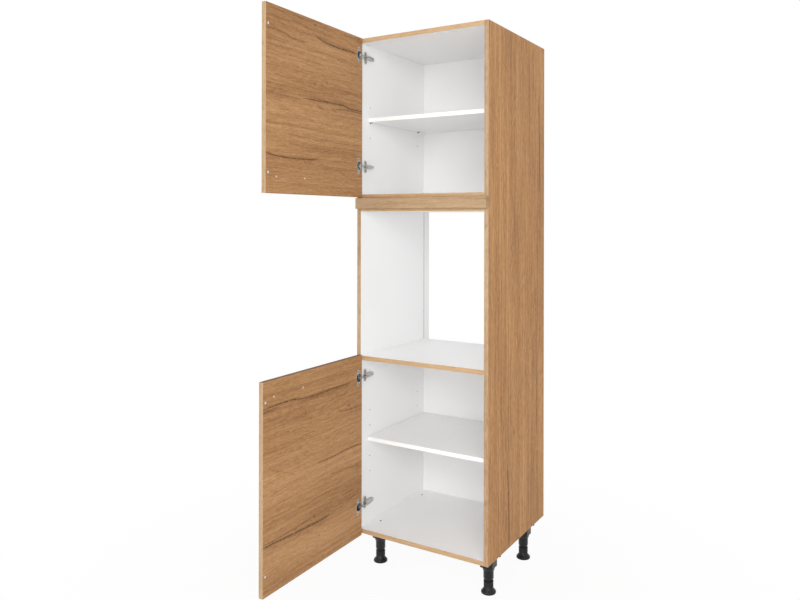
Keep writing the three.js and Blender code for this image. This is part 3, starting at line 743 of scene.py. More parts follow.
@dataclass(frozen=True)
class Palette:
    """The finishes of the whole unit.

    Cracks are rows of width, wander, strength and places of the path, and knots are rows of radius,
    strength and centre, with lengths in millimetres. They lie where the photographed unit has them.
    """

    white: Finish = WhiteFilm("white_melamine")
    back: Finish = WhiteFilm("white_back_lacquer", srgb(246, 246, 246))
    core: Finish = ChipCore("bare_chipboard")
    nickel: Finish = PlatedMetal("nickel_plated_steel")
    zinc: Finish = PlatedMetal("zinc_plated_steel", srgb(150, 150, 150), (0.25, 0.45))
    # Near black steel for the clamp screws at the arms' ends. The screws are real, and their black is
    # painted shade in the arm's dark opening.
    arm_opening_shade: Finish = PlatedMetal("near_black_steel_painted_shade", srgb(34, 34, 34), (0.35, 0.5))
    # Black plastic for the cup's whole inside: a soft-close damper's black, with painted shade on the deep
    # pot's walls.
    recess: Finish = MouldedPlastic("hinge_cup_damper_and_painted_shade")
    sleeve: Finish = WhiteFilm("white_hole_sleeve", srgb(246, 246, 246))
    plastic: Finish = MouldedPlastic("moulded_black_plastic")
    side_oak: Finish = OakPrint(
        "oak_upright",
        Grain.UPRIGHT,
        srgb(209, 159, 106),
        srgb(184, 133, 82),
        srgb(146, 99, 56),
        cracks(
            (3.4, 1.2, 0.74, (2168, 451), (2050, 454), (1973, 453)),
            (4.4, 1.5, 1.00, (1977, 511), (1682, 523), (1522, 514)),
            (2.9, 1.0, 0.72, (1659, 150), (1500, 156), (1370, 158)),
            (6.5, 3.0, 0.30, (1482, 267), (1217, 269)),
            (4.2, 1.8, 0.90, (1202, 486), (850, 490), (504, 500)),
            (5.2, 1.6, 1.00, (490, 189), (428, 201), (300, 208), (140, 213)),
            (5.2, 2.0, 0.36, (771, 138), (655, 139)),
            (5.2, 2.0, 0.42, (310, 184), (220, 185)),
            (3.1, 1.0, 0.48, (1900, 69), (1820, 73)),
        ),
        knots(
            (5, 0.6, (1663, 103)),
            (4, 0.5, (1858, 105)),
            (5, 0.55, (1139, 107)),
            (7, 0.7, (595, 256)),
            (5, 0.5, (454, 500)),
        ),
        seed=2.0,
        contrast=1.25,
        flow=0.012,
    )
    left_oak: Finish = OakPrint(
        "oak_upright_left",
        Grain.UPRIGHT,
        cracks=cracks(
            (3.9, 1.5, 0.90, (2050, 200), (1700, 214), (1300, 220)),
            (4.2, 1.8, 0.96, (1100, 420), (800, 405), (450, 400)),
            (3.1, 1.2, 0.72, (800, 110), (550, 118), (300, 120)),
        ),
        knots=knots((7, 0.6, (1500, 330)), (6, 0.6, (620, 260))),
        seed=9.0,
        contrast=1.25,
        flow=0.012,
    )
    upper_door_oak: Finish = OakPrint(
        "oak_upper_door",
        Grain.INWARD,
        cracks=cracks(
            (3.9, 2.2, 0.72, (-600, 2101), (-502, 2103), (-411, 2092), (-347, 2096)),
            (5.5, 2.0, 1.00, (-300, 2138), (-250, 2121), (-184, 2117), (-115, 2117), (-20, 2118)),
            (4.4, 1.5, 0.50, (-600, 1887), (-549, 1881), (-474, 1880), (-385, 1881)),
            (4.4, 1.6, 1.0, (-372, 1888), (-298, 1890), (-199, 1893), (-140, 1895), (-78, 1888), (30, 1887)),
            (3.4, 1.5, 0.72, (-174, 1874), (-90, 1879), (30, 1878)),
            (3.1, 1.0, 0.66, (-290, 1867), (-245, 1863)),
            (3.1, 1.0, 0.60, (-205, 1872), (-160, 1862)),
            (3.9, 1.5, 0.96, (-600, 1680), (-501, 1665), (-430, 1663), (-280, 1670)),
            (3.9, 1.5, 0.54, (-375, 1658), (-300, 1647)),
            (3.9, 3.0, 0.30, (-473, 1750), (-300, 1742), (30, 1746)),
        ),
        knots=knots(
            (5, 0.6, (-301, 2172)),
            (9, 0.45, (-304, 1951)),
            (5, 0.45, (-224, 1968)),
            (7, 0.6, (-140, 1895)),
            (4, 0.5, (-28, 2066)),
            (4, 0.5, (-28, 2036)),
            (6, 0.6, (-9, 2181)),
            (4, 0.5, (-242, 1642)),
            (4, 0.45, (-219, 1609)),
        ),
        seed=4.0,
    )
    lower_door_oak: Finish = OakPrint(
        "oak_lower_door",
        Grain.INWARD,
        cracks=cracks(
            (4.4, 1.5, 1.00, (-600, 784), (-513, 795), (-453, 796), (-337, 785), (-169, 787), (-50, 786)),
            (3.1, 1.0, 0.66, (-600, 776), (-520, 786), (-460, 790)),
            (3.1, 1.0, 0.72, (-330, 779), (-270, 780), (-200, 783)),
            (3.1, 1.2, 0.66, (-145, 687), (-70, 682), (30, 679)),
            (3.1, 1.2, 0.96, (-288, 527), (-219, 522), (-147, 523), (-84, 526), (30, 519)),
            (5.2, 1.6, 1.00, (-600, 320), (-503, 315), (-417, 310), (-335, 306), (-268, 303), (-185, 303)),
            (3.9, 1.6, 0.72, (-600, 336), (-511, 324), (-443, 326), (-372, 329), (-290, 330)),
            (3.9, 2.5, 0.36, (-520, 566), (-450, 540), (-400, 515)),
            (3.9, 3.0, 0.36, (-200, 460), (-100, 452), (30, 430)),
        ),
        knots=knots(
            (7, 0.6, (-76, 698)),
            (5, 0.5, (-448, 687)),
            (5, 0.5, (-349, 728)),
            (5, 0.5, (-340, 586)),
            (5, 0.5, (-320, 553)),
            (9, 0.65, (-407, 322)),
            (7, 0.7, (-297, 330)),
            (5, 0.6, (-268, 249)),
            (5, 0.5, (-340, 229)),
            (5, 0.5, (-517, 175)),
            (6, 0.25, (-212, 697)),
        ),
        seed=6.0,
    )
    fascia_oak: Finish = OakPrint(
        "oak_fascia",
        Grain.ACROSS,
        srgb(185, 156, 123),
        srgb(167, 138, 106),
        srgb(142, 113, 81),
        seed=8.0,
    )
    band_upright: Finish = OakPrint(
        "oak_band_upright",
        Grain.UPRIGHT,
        srgb(190, 161, 128),
        srgb(177, 147, 114),
        srgb(151, 122, 91),
        knots=knots((4, 0.6, (2003, 24)), (4, 0.6, (1885, 24)), (4, 0.6, (1755, 24))),
        seed=3.0,
    )
    band_across: Finish = OakPrint(
        "oak_band_across",
        Grain.ACROSS,
        srgb(203, 170, 132),
        srgb(190, 157, 118),
        srgb(168, 133, 95),
        seed=5.0,
    )
    door_band: Finish = OakPrint(
        "oak_door_band",
        Grain.UPRIGHT,
        srgb(185, 158, 124),
        srgb(175, 147, 113),
        srgb(154, 127, 93),
        seed=7.0,
    )
    # Darker oak on the doors' top and bottom ends: painted shade, for the dark line along the lower door's
    # top edge.
    leaf_end_shade: Finish = OakPrint(
        "oak_leaf_ends_painted_shade",
        Grain.INWARD,
        srgb(128, 92, 60),
        srgb(112, 77, 48),
        srgb(92, 60, 36),
        seed=8.0,
    )


# ---- Meshes -------------------------------------------------------------------------------------


def finish_piece(
    name: str,
    mesh: bpy.types.Mesh,
    body: str,
    replaced: Iterable[str] = (),
    smooth_angle: float | None = None,
) -> bpy.types.Object:
    """Makes a mesh a piece of the object.

    Args:
        name: The piece's name.
        mesh: Its mesh, already in place.
        body: The body that it rides on.
        replaced: CAD nodes that it stands for.
        smooth_angle: Edges flatter than this many degrees are shaded smooth, or None for flat faces.

    Returns:
        The new object.
    """
    if smooth_angle is not None:
        mesh.shade_smooth()
        mesh.set_sharp_from_angle(angle=math.radians(smooth_angle))
    mesh.name = name
    made = bpy.data.objects.new(name, mesh)
    bpy.context.scene.collection.objects.link(made)
    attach(made, body)
    for node in replaced:
        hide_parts(node)
    LOG.info("%s: %d faces on %s", name, len(mesh.polygons), body)
    return made


def plain_mesh(work: bmesh.types.BMesh, name: str, *finishes: Finish) -> bpy.types.Mesh:
    """Turns a working mesh into a plain one, and frees it.

    Args:
        work: The working mesh.
        name: The new mesh's name.
        *finishes: Its finishes, in the order of its material indices.

    Returns:
        The new mesh.
    """
    mesh = bpy.data.meshes.new(name)
    work.to_mesh(mesh)
    work.free()
    mesh.materials.clear()
    for finish in finishes:
        mesh.materials.append(finish.material())
    return mesh


def joined(meshes: Iterable[bpy.types.Mesh]) -> bmesh.types.BMesh:
    """Joins plain meshes.

    Args:
        meshes: The meshes.

    Returns:
        One working mesh of them all.
    """
    work = bmesh.new()
    for mesh in meshes:
        work.from_mesh(mesh)
    return work


def evaluated(helper: bpy.types.Object) -> bpy.types.Mesh:
    """Runs an object's modifiers.

    Args:
        helper: The object.

    Returns:
        The result as a plain mesh.
    """
    bpy.context.view_layer.update()
    graph = bpy.context.evaluated_depsgraph_get()
    return bpy.data.meshes.new_from_object(helper.evaluated_get(graph))


def cylinder_cutter(
    work: bmesh.types.BMesh, start: Vector, end: Vector, radius: float, sides: int
) -> None:
    """Adds a closed cylinder to a working mesh.

    Args:
        work: The mesh to add to.
        start: Middle of one end.
        end: Middle of the other end.
        radius: Its radius.
        sides: Number of its sides.
    """
    way = end - start
    turn = UP.rotation_difference(way).to_matrix().to_4x4()
    matrix = Matrix.Translation((start + end) / 2) @ turn
    sizes = {"radius1": radius, "radius2": radius, "depth": way.length}
    bmesh.ops.create_cone(work, cap_ends=True, segments=sides, matrix=matrix, **sizes)


def box_cutter(work: bmesh.types.BMesh, low: Vector, high: Vector) -> None:
    """Adds a closed block to a working mesh.

    Args:
        work: The mesh to add to.
        low: Its lowest corner.
        high: Its highest corner.
    """
    matrix = Matrix.Translation((low + high) / 2) @ Matrix.Diagonal((*(high - low), 1.0))
    bmesh.ops.create_cube(work, size=1.0, matrix=matrix)


def lathe(work: bmesh.types.BMesh, profile: Sequence[Place], sides: int = 48) -> None:
    """Adds a closed body turned about Z.

    Args:
        work: The mesh to add to.
        profile: Radius and height of each ring, from axis to axis or once round.
        sides: Number of its sides.
    """
    turns = [math.tau * side / sides for side in range(sides)]
    rings = []
    for radius, height in profile:
        places = [(radius * math.cos(turn), radius * math.sin(turn), height) for turn in turns]
        rings.append([work.verts.new(place) for place in (places if radius > 0 else [(0, 0, height)])])
    closed = len(rings[0]) > 1 and len(rings[-1]) > 1
    faces = []
    for lower, upper in zip(rings, rings[1:] + rings[:1] if closed else rings[1:]):
        for side in range(sides):
            after = side + 1
            corners = [lower[side % len(lower)], lower[after % len(lower)]]
            corners += [upper[after % len(upper)], upper[side % len(upper)]]
            faces.append(work.faces.new(list(dict.fromkeys(corners))))
    bmesh.ops.recalc_face_normals(work, faces=faces)


def round_edges(
    work: bmesh.types.BMesh, edges: list, width: float, steps: int = 2, clamped: bool = False
) -> None:
    """Rounds edges of a working mesh.

    Args:
        work: The mesh.
        edges: Its edges to round.
        width: Width of the rounding.
        steps: Number of strips across it.
        clamped: Whether it narrows where there is no room.
    """
    looks = {"segments": steps, "profile": 0.5, "affect": "EDGES", "clamp_overlap": clamped}
    bmesh.ops.bevel(work, geom=edges, offset=width, **looks)


def softened(node: bpy.types.Object, finish: Finish, width: float, angle: float = 30.0) -> bpy.types.Mesh:
    """A copy of a CAD node's mesh with its sharp edges rounded.

    Args:
        node: The CAD node.
        finish: The new mesh's finish.
        width: Width of the rounding.
        angle: Edges flatter than this many degrees stay as they are.

    Returns:
        The new mesh.
    """
    flat, same_place = math.radians(0.5), 1e-6
    work = joined([node.data])
    bmesh.ops.remove_doubles(work, verts=work.verts, dist=same_place)
    bmesh.ops.dissolve_limit(work, angle_limit=flat, verts=work.verts, edges=work.edges)
    least = math.radians(angle)
    sharp = [edge for edge in work.edges if edge.is_manifold and edge.calc_face_angle(0.0) > least]
    round_edges(work, sharp, width, clamped=True)
    return plain_mesh(work, node.name + "_soft", finish)


def carve(body: bpy.types.Mesh, tools: Sequence[bmesh.types.BMesh]) -> bpy.types.Mesh:
    """Cuts tool meshes out of a body.

    Args:
        body: The mesh to cut.
        tools: Closed meshes to take away. They are freed.

    Returns:
        The cut mesh.
    """
    scene = bpy.context.scene
    helper = bpy.data.objects.new("carve_body", body)
    scene.collection.objects.link(helper)
    cutters = []
    for index, tool in enumerate(tools):
        mesh = plain_mesh(tool, f"carve_tool_{index}")
        cutter = bpy.data.objects.new(mesh.name, mesh)
        scene.collection.objects.link(cutter)
        cut = helper.modifiers.new("cut", "BOOLEAN")
        cut.operation = "DIFFERENCE"
        cut.solver = "EXACT"
        cut.object = cutter
        cutters.append(cutter)
    result = evaluated(helper)
    for made in (helper, *cutters):
        bpy.data.objects.remove(made)
    return result


@dataclass
class Drilling:
    """A round hole in a board: from a point on its face, inward."""

    mouth: Triple
    way: Triple
    depth: float
    radius: float
    sides: int = 20


@dataclass
class Board:
    """A faced board with eased edges, drilled holes and grooves.

    The board is described in a frame of its own, and `matrix` puts it in place.
    """

    name: str
    node: str
    low: Vector
    high: Vector
    faces: dict[str, Finish]
    core: Finish
    slot: str
    body: str = "carcass"
    ease: float = 0.6 * MM
    band: float = 1.0 * MM
    banded: tuple[str, ...] = ()
    matrix: Matrix = field(default_factory=Matrix)
    drillings: Sequence[Drilling] = ()
    grooves: Sequence[tuple[Vector, Vector]] = ()

    def build(self) -> bpy.types.Object:
        """Builds the board, dresses its faces and puts it in place.

        Returns:
            The finished piece.
        """
        mesh = self.blank()
        tools = self.tools()
        if tools:
            mesh = carve(mesh, tools)
        self.dress(mesh)
        mesh.transform(self.matrix)
        return finish_piece(self.name, mesh, self.body, [self.node])

    def blank(self) -> bpy.types.Mesh:
        """The board before it is drilled, with eased edges and its edge bands marked off.

        Returns:
            The new mesh.
        """
        work = bmesh.new()
        box_cutter(work, self.low, self.high)
        for side in self.banded:
            axis = "xyz".index(side[1])
            normal = Vector((0, 0, 0))
            normal[axis] = 1.0
            place = self.low.copy() if side[0] == "-" else self.high.copy()
            place[axis] += self.band if side[0] == "-" else -self.band
            everything = work.verts[:] + work.edges[:] + work.faces[:]
            bmesh.ops.bisect_plane(work, geom=everything, plane_co=place, plane_no=normal)
        sharp = [edge for edge in work.edges if edge.calc_face_angle(0.0) > 1.0]
        round_edges(work, sharp, self.ease)
        return plain_mesh(work, self.name)

    def tools(self) -> list[bmesh.types.BMesh]:
        """The cutters of all holes, and of all grooves.

        Returns:
            One working mesh for the holes and one for the grooves, where there are any.
        """
        start = 2 * MM
        made = []
        if self.drillings:
            made.append(bmesh.new())
        for hole in self.drillings:
            mouth, way = Vector(hole.mouth), Vector(hole.way)
            ends = (mouth - way * start, mouth + way * hole.depth)
            cylinder_cutter(made[-1], *ends, hole.radius, hole.sides)
        if self.grooves:
            made.append(bmesh.new())
        for low, high in self.grooves:
            box_cutter(made[-1], low, high)
        return made

    def dress(self, mesh: bpy.types.Mesh) -> None:
        """Gives each face the finish of the side that it looks to, and cut faces the core's.

        Args:
            mesh: The board's mesh, in the board's own frame.
        """
        finishes = list(dict.fromkeys((self.core, *self.faces.values())))
        mesh.materials.clear()
        for finish in finishes:
            mesh.materials.append(finish.material())
        margin = self.ease + 0.05 * MM
        for face in mesh.polygons:
            middle = face.center
            reach = [middle[axis] - self.low[axis] for axis in range(3)]
            reach += [self.high[axis] - middle[axis] for axis in range(3)]
            depth = min(reach)
            finish = self.core if depth > margin else self.side_finish(middle, face.normal)
            face.material_index = finishes.index(finish)

    def side_finish(self, middle: Vector, normal: Vector) -> Finish:
        """The finish of a face on the board's outside.

        Args:
            middle: The face's middle.
            normal: The face's normal.

        Returns:
            The finish of its edge band, or of the side that it looks to.
        """
        for side in self.banded:
            axis = "xyz".index(side[1])
            away = middle[axis] - self.low[axis] if side[0] == "-" else self.high[axis] - middle[axis]
            if away < self.band:
                return self.faces[side]
        axis = max(range(3), key=lambda index: abs(normal[index]))
        return self.faces[("-" if normal[axis] < 0 else "+") + "xyz"[axis]]


# ---- Geometry Nodes for what repeats ------------------------------------------------------------


class NodeMaker(TreeSketch):
    """Builds a Geometry Nodes tree that repeats a shape on points."""

    def __init__(self, name: str, numbers: Sequence[str]) -> None:
        """Starts a tree.

        Args:
            name: The tree's name.
            numbers: Names of its number inputs.
        """
        super().__init__(bpy.data.node_groups.new(name, "GeometryNodeTree"))
        face = self.tree.interface
        face.new_socket("Points", in_out="INPUT", socket_type="NodeSocketGeometry")
        for label in numbers:
            face.new_socket(label, in_out="INPUT", socket_type="NodeSocketFloat")
        face.new_socket("Finish", in_out="INPUT", socket_type="NodeSocketMaterial")
        face.new_socket("Pieces", in_out="OUTPUT", socket_type="NodeSocketGeometry")
        self.given = self.node("NodeGroupInput").outputs
        self.numbers = [self.given[label] for label in numbers]

    def moved(self, shape: Socket, height: object) -> Socket:
        """A shape moved along Z."""
        feeds = {"Geometry": shape, "Translation": self.vector(z=height)}
        return self.first("GeometryNodeTransform", feeds)

    def hung(self, shape: Socket, length: Socket) -> Socket:
        """A shape that is centred on the origin, moved down until its top is there."""
        return self.moved(shape, self.times(length, -0.5))

    def spread(self, shape: Socket) -> bpy.types.NodeTree:
        """Puts a shape on every point, turned by the point's way, and ends the tree.

        Args:
            shape: The geometry to repeat, with its axis along Z.

        Returns:
            The finished tree.
        """
        way = self.first("GeometryNodeInputNamedAttribute", {"Name": "way"}, data_type="FLOAT_VECTOR")
        turn = self.first("FunctionNodeAlignRotationToVector", {"Vector": way}, axis="Z")
        feeds = {"Points": self.given["Points"], "Instance": shape, "Rotation": turn}
        placed = self.first("GeometryNodeInstanceOnPoints", feeds)
        real = self.first("GeometryNodeRealizeInstances", {"Geometry": placed})
        feeds = {"Geometry": real, "Material": self.given["Finish"]}
        self.node("NodeGroupOutput", {"Pieces": self.first("GeometryNodeSetMaterial", feeds)})
        return self.tree


@cache
def screw_tree() -> bpy.types.NodeTree:
    """The tree of a screw head with a cross recess on a shank.

    Returns:
        The tree, made once.
    """
    labels = ("Head radius", "Crown radius", "Head height", "Shank radius", "Shank length")
    maker = NodeMaker("cross_recess_screws", (*labels, "Cross reach", "Cross width"))
    radius, crown, height, shank, length, reach, width = maker.numbers
    feeds = {"Vertices": 24, "Radius Top": crown, "Radius Bottom": radius, "Depth": height}
    head = maker.first("GeometryNodeMeshCone", feeds)
    deep = maker.times(height, 1.2)
    bars = []
    for size in (maker.vector(reach, width, deep), maker.vector(width, reach, deep)):
        bars.append(maker.moved(maker.first("GeometryNodeMeshCube", {"Size": size}), height))
    cross = maker.first("GeometryNodeMeshBoolean", {"Mesh 2": bars}, operation="UNION")
    feeds = {"Mesh 1": head, "Mesh 2": cross}
    cut = maker.first("GeometryNodeMeshBoolean", feeds, operation="DIFFERENCE")
    rod = maker.first("GeometryNodeMeshCylinder", {"Vertices": 16, "Radius": shank, "Depth": length})
    low = maker.hung(rod, length)
    return maker.spread(maker.first("GeometryNodeJoinGeometry", {"Geometry": [cut, low]}))


@cache
def sleeve_tree() -> bpy.types.NodeTree:
    """The tree of a thin round sleeve that lines the mouth of a drilled hole.

    Returns:
        The tree, made once.
    """
    sides, through = 24, 1.0
    maker = NodeMaker("hole_sleeves", ("Bore radius", "Wall", "Length", "Collar"))
    bore, wall, length, collar = maker.numbers
    outer = maker.plus(bore, wall)
    feeds = {"Vertices": sides, "Radius": outer, "Depth": length}
    low = maker.hung(maker.first("GeometryNodeMeshCylinder", feeds), length)
    feeds = {"Radius Top": outer, "Radius Bottom": maker.plus(outer, collar), "Vertices": sides}
    brim = maker.first("GeometryNodeMeshCone", {**feeds, "Depth": maker.times(wall, 0.5)})
    both = maker.first("GeometryNodeMeshBoolean", {"Mesh 2": [low, brim]}, operation="UNION")
    feeds = {"Vertices": sides, "Radius": bore, "Depth": through}
    tool = maker.first("GeometryNodeMeshCylinder", feeds)
    feeds = {"Mesh 1": both, "Mesh 2": tool}
    return maker.spread(maker.first("GeometryNodeMeshBoolean", feeds, operation="DIFFERENCE"))


@cache
def rib_tree() -> bpy.types.NodeTree:
    """The tree of a crown of upright grip ribs round each point.

    Returns:
        The tree, made once.
    """
    maker = NodeMaker("grip_ribs", ("Ring radius", "Rib height", "Rib width", "Rib depth"))
    radius, height, width, depth = maker.numbers
    ring = maker.first("GeometryNodeMeshCircle", {"Vertices": 30, "Radius": radius})
    feeds = {"Vector": maker.first("GeometryNodeInputPosition")}
    turn = maker.first("FunctionNodeAlignRotationToVector", feeds, axis="X", pivot_axis="Z")
    bar = maker.first("GeometryNodeMeshCube", {"Size": maker.vector(depth, width, height)})
    feeds = {"Points": ring, "Instance": bar, "Rotation": turn}
    return maker.spread(maker.first("GeometryNodeInstanceOnPoints", feeds))


def repeated(
    tree: bpy.types.NodeTree,
    places: Sequence[tuple[Vector, Vector]],
    sizes: dict[str, float],
    finish: Finish,
) -> bpy.types.Mesh:
    """Runs a tree on points and takes the result as a plain mesh.

    Args:
        tree: The Geometry Nodes tree.
        places: Each point and the way that its piece looks.
        sizes: Values of the tree's inputs, by name.
        finish: The pieces' finish.

    Returns:
        The mesh of all pieces.
    """
    mesh = bpy.data.meshes.new("points")
    mesh.from_pydata([tuple(place) for place, _ in places], [], [])
    ways = mesh.attributes.new("way", "FLOAT_VECTOR", "POINT")
    for entry, (_, way) in zip(ways.data, places):
        entry.vector = way
    helper = bpy.data.objects.new("repeat_points", mesh)
    bpy.context.scene.collection.objects.link(helper)
    modifier = helper.modifiers.new("repeat", "NODES")
    modifier.node_group = tree
    values = {**sizes, "Finish": finish.material()}
    for item in tree.interface.items_tree:
        if item.in_out == "INPUT" and item.name in values:
            modifier[item.identifier] = values[item.name]
    result = evaluated(helper)
    helper.modifiers.clear()
    bpy.data.objects.remove(helper)
    return result


# ---- The unit's sub-assemblies ------------------------------------------------------------------


@dataclass
class HingeGeometry:
    """The hinge linkage's places for a closed door.

    They are distances from the door's hinge edge and, with a minus, behind its inner face.
    """

    edge: Place = (-298 * MM, 18 * MM)
    arm_long: Place = (33.54 * MM, 19.46 * MM)
    cup_long: Place = (9.63 * MM, -2.94 * MM)
    cup_short: Place = (13.98 * MM, -6.94 * MM)
    long_share: float = 0.31
    cup_middle: float = 21.5 * MM
    cup_radius: float = 17.5 * MM

    def door_matrix(self, angle: float) -> Matrix:
        """Takes a place in a closed door to the frame, with the door open.

        Args:
            angle: Opening angle in degrees.

        Returns:
            The matrix from hinge places to the frame.
        """
        swing = math.radians(angle)
        arm, cup = Vector((*self.arm_long, 0)), Vector((*self.cup_long, 0))
        joint = arm + Matrix.Rotation(self.long_share * swing, 3, "Z") @ (cup - arm)
        return (
            Matrix.Translation((*self.edge, 0))
            @ Matrix.Translation(joint)
            @ Matrix.Rotation(-swing, 4, "Z")
            @ Matrix.Translation(-cup)
        )


@dataclass
class Door:
    """A door leaf in oak print, drilled for its hinges and handle."""

    level: str
    bottom: float
    top: float
    angle: float
    hinge_heights: Place
    pilot_height: float
    oak: Finish
    palette: Palette
    linkage: HingeGeometry
    width: float = 596 * MM
    thickness: float = 18 * MM
    bore_depth: float = 13.3 * MM
    bore_gap: float = 0.3 * MM
    handle_inset: float = 13 * MM
    handle_end_inset: float = 72 * MM
    handle_hole: float = 2.5 * MM
    handle_sleeve: Place = (1.6 * MM, 1.7 * MM)
    pilot_insets: Place = (56 * MM, 216 * MM)
    pilot_hole: float = 1.6 * MM
    pilot_depth: float = 12 * MM
    pilot_sleeve: Place = (1.0 * MM, 1.2 * MM)
    sleeve_wall: float = 0.6 * MM
    sleeve_length: float = 6 * MM

    @property
    def handle_heights(self) -> Place:
        """The heights of the two handle holes."""
        return (self.bottom + self.handle_end_inset, self.top - self.handle_end_inset)

    def build(self) -> bpy.types.Object:
        """Builds the leaf in its own frame and swings it open.

        Returns:
            The finished piece.
        """
        band, end = self.palette.door_band, self.palette.leaf_end_shade
        return Board(
            f"{self.level}_door_leaf",
            f"{self.level}_door",
            Vector((0, -self.thickness, self.bottom)),
            Vector((self.width, 0, self.top)),
            # The top and bottom ends take the darker oak of painted shade.
            dict.fromkeys(SIDES, self.oak) | {"-x": band, "+x": band, "-z": end, "+z": end},
            self.palette.core,
            "oak_decor_board",
            body=f"{self.level}_door",
            ease=0.8 * MM,
            banded=("-x", "+x"),
            matrix=self.linkage.door_matrix(self.angle),
            drillings=self.holes(),
        ).build()

    def sleeves(self) -> bpy.types.Object:
        """Lines the mouths of the handle holes and pilot holes with pale sleeves.

        Returns:
            The finished piece.
        """
        matrix = self.linkage.door_matrix(self.angle)
        way = matrix.to_3x3() @ Vector((0, 1, 0))
        meshes = []
        for insets, heights, (bore, collar) in (
            ((self.handle_inset,), self.handle_heights, self.handle_sleeve),
            (self.pilot_insets, (self.pilot_height,), self.pilot_sleeve),
        ):
            mouths = [Vector((self.width - inset, 0, z)) for inset in insets for z in heights]
            places = [(matrix @ mouth, way) for mouth in mouths]
            sizes = {"Bore radius": bore, "Wall": self.sleeve_wall, "Collar": collar}
            sizes["Length"] = self.sleeve_length
            meshes.append(repeated(sleeve_tree(), places, sizes, self.palette.sleeve))
        mesh = plain_mesh(joined(meshes), "sleeves", self.palette.sleeve)
        return finish_piece(f"{self.level}_door_sleeves", mesh, f"{self.level}_door", (), 35)

    def holes(self) -> list[Drilling]:
        """Cup bores, handle holes right through and shallow pilot holes.

        Returns:
            The holes, in the leaf's own frame.
        """
        inward = (0.0, -1.0, 0.0)
        through = self.thickness + 2 * MM
        cup, radius = self.linkage.cup_middle, self.linkage.cup_radius + self.bore_gap
        made = [Drilling((cup, 0, z), inward, self.bore_depth, radius, 48) for z in self.hinge_heights]
        for z in self.handle_heights:
            place = (self.width - self.handle_inset, 0, z)
            made.append(Drilling(place, inward, through, self.handle_hole))
        for inset in self.pilot_insets:
            place = (self.width - inset, 0, self.pilot_height)
            made.append(Drilling(place, inward, self.pilot_depth, self.pilot_hole))
        return made


@dataclass
class Carcass:
    """Side panels, fixed boards, back panels and loose shelves."""

    palette: Palette
    groove_depth: float = 6 * MM
    groove_gap: float = 0.2 * MM
    pin_hole_radius: float = 2.6 * MM
    pin_hole_depth: float = 12 * MM
    pin_rows: Place = (88 * MM, 472 * MM)
    pin_heights: tuple[float, ...] = (387, 451, 515, 579, 643, 1785, 1849, 1913)

    def build(self) -> None:
        """Builds every board of the carcass."""
        self.side_panel("left", -1, self.palette.left_oak)
        self.side_panel("right", 1, self.palette.side_oak)
        for node in ("top_panel", "bottom_panel"):
            self.cross_board(node, True)
        for node in ("oven_shelf", "niche_ceiling", "upper_compartment_floor"):
            self.cross_board(node, False)
        for node in ("upper_shelf", "lower_shelf"):
            self.board(f"{node}_board", node, dict.fromkeys(SIDES, self.palette.white), "white_board")
        for node in ("upper_back_panel", "lower_back_panel"):
            faces = dict.fromkeys(SIDES, self.palette.back)
            self.board(f"{node}_sheet", node, faces, "white_back_panel", ease=0.2 * MM)

    def board(self, name: str, node: str, faces: dict, slot: str, **details: object) -> None:
        """Builds a board in the place of its node.

        Args:
            name: The piece's name.
            node: The CAD node that it stands for.
            faces: The finish of each side.
            slot: The record's material slot. It is not used.
            **details: Further fields of the board.
        """
        low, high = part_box(node)
        Board(name, node, low, high, faces, self.palette.core, slot, **details).build()

    def side_panel(self, name: str, side: int, oak: Finish) -> None:
        """Builds a side panel.

        Args:
            name: Left or right.
            side: -1 for the left and 1 for the right.
            oak: The finish of its outside.
        """
        node = f"side_panel_{name}"
        low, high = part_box(node)
        inner = high.x if side < 0 else low.x
        outside, inside = ("-x", "+x") if side < 0 else ("+x", "-x")
        holes = [
            Drilling((inner, y, z * MM), (side, 0.0, 0.0), self.pin_hole_depth, self.pin_hole_radius)
            for z in self.pin_heights
            for y in self.pin_rows
        ]
        back_low, back_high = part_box("upper_back_panel")
        start = Vector((inner - self.groove_depth, back_low.y - self.groove_gap, low.z - 1 * MM))
        end = Vector((inner + self.groove_depth, back_high.y + self.groove_gap, high.z + 1 * MM))
        white, core = self.palette.white, self.palette.core
        faces = {outside: oak, inside: white, "-y": self.palette.band_upright, "+y": white}
        faces |= {"+z": core, "-z": core}
        details = {"banded": ("-y",), "drillings": holes, "grooves": [(start, end)]}
        self.board(f"{name}_side_board", node, faces, "oak_decor_board", **details)

    def cross_board(self, node: str, grooved: bool) -> None:
        """Builds a fixed board between the sides, with an oak band in front.

        Args:
            node: Its CAD node.
            grooved: Whether it has the groove for the back panel.
        """
        faces = dict.fromkeys(SIDES, self.palette.white) | {"-y": self.palette.band_across}
        grooves = []
        if grooved:
            low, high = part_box(node)
            back_low, back_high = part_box("upper_back_panel")
            under = node == "top_panel"
            inner = low.z if under else high.z
            below, above = (2 * MM, self.groove_depth) if under else (self.groove_depth, 2 * MM)
            start = Vector((low.x - 1 * MM, back_low.y - self.groove_gap, inner - below))
            end = Vector((high.x + 1 * MM, back_high.y + self.groove_gap, inner + above))
            grooves.append((start, end))
        self.board(f"{node}_board", node, faces, "white_board", banded=("-y",), grooves=grooves)


@dataclass
class Fascia:
    """The strip in front of the gap between niche ceiling and upper compartment."""

    palette: Palette
    corner: float = 2.5 * MM

    def build(self) -> bpy.types.Object:
        """Builds the strip with well rounded front edges.

        Returns:
            The finished piece.
        """
        low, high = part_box("fascia_strip")
        work = bmesh.new()
        box_cutter(work, low, high)
        near = low.y + 1 * MM
        front = [edge for edge in work.edges if all(vert.co.y < near for vert in edge.verts)]
        round_edges(work, front, self.corner, steps=5)
        mesh = plain_mesh(work, "fascia", self.palette.fascia_oak)
        return finish_piece("fascia_cover", mesh, "carcass", ["fascia_strip"], 40)


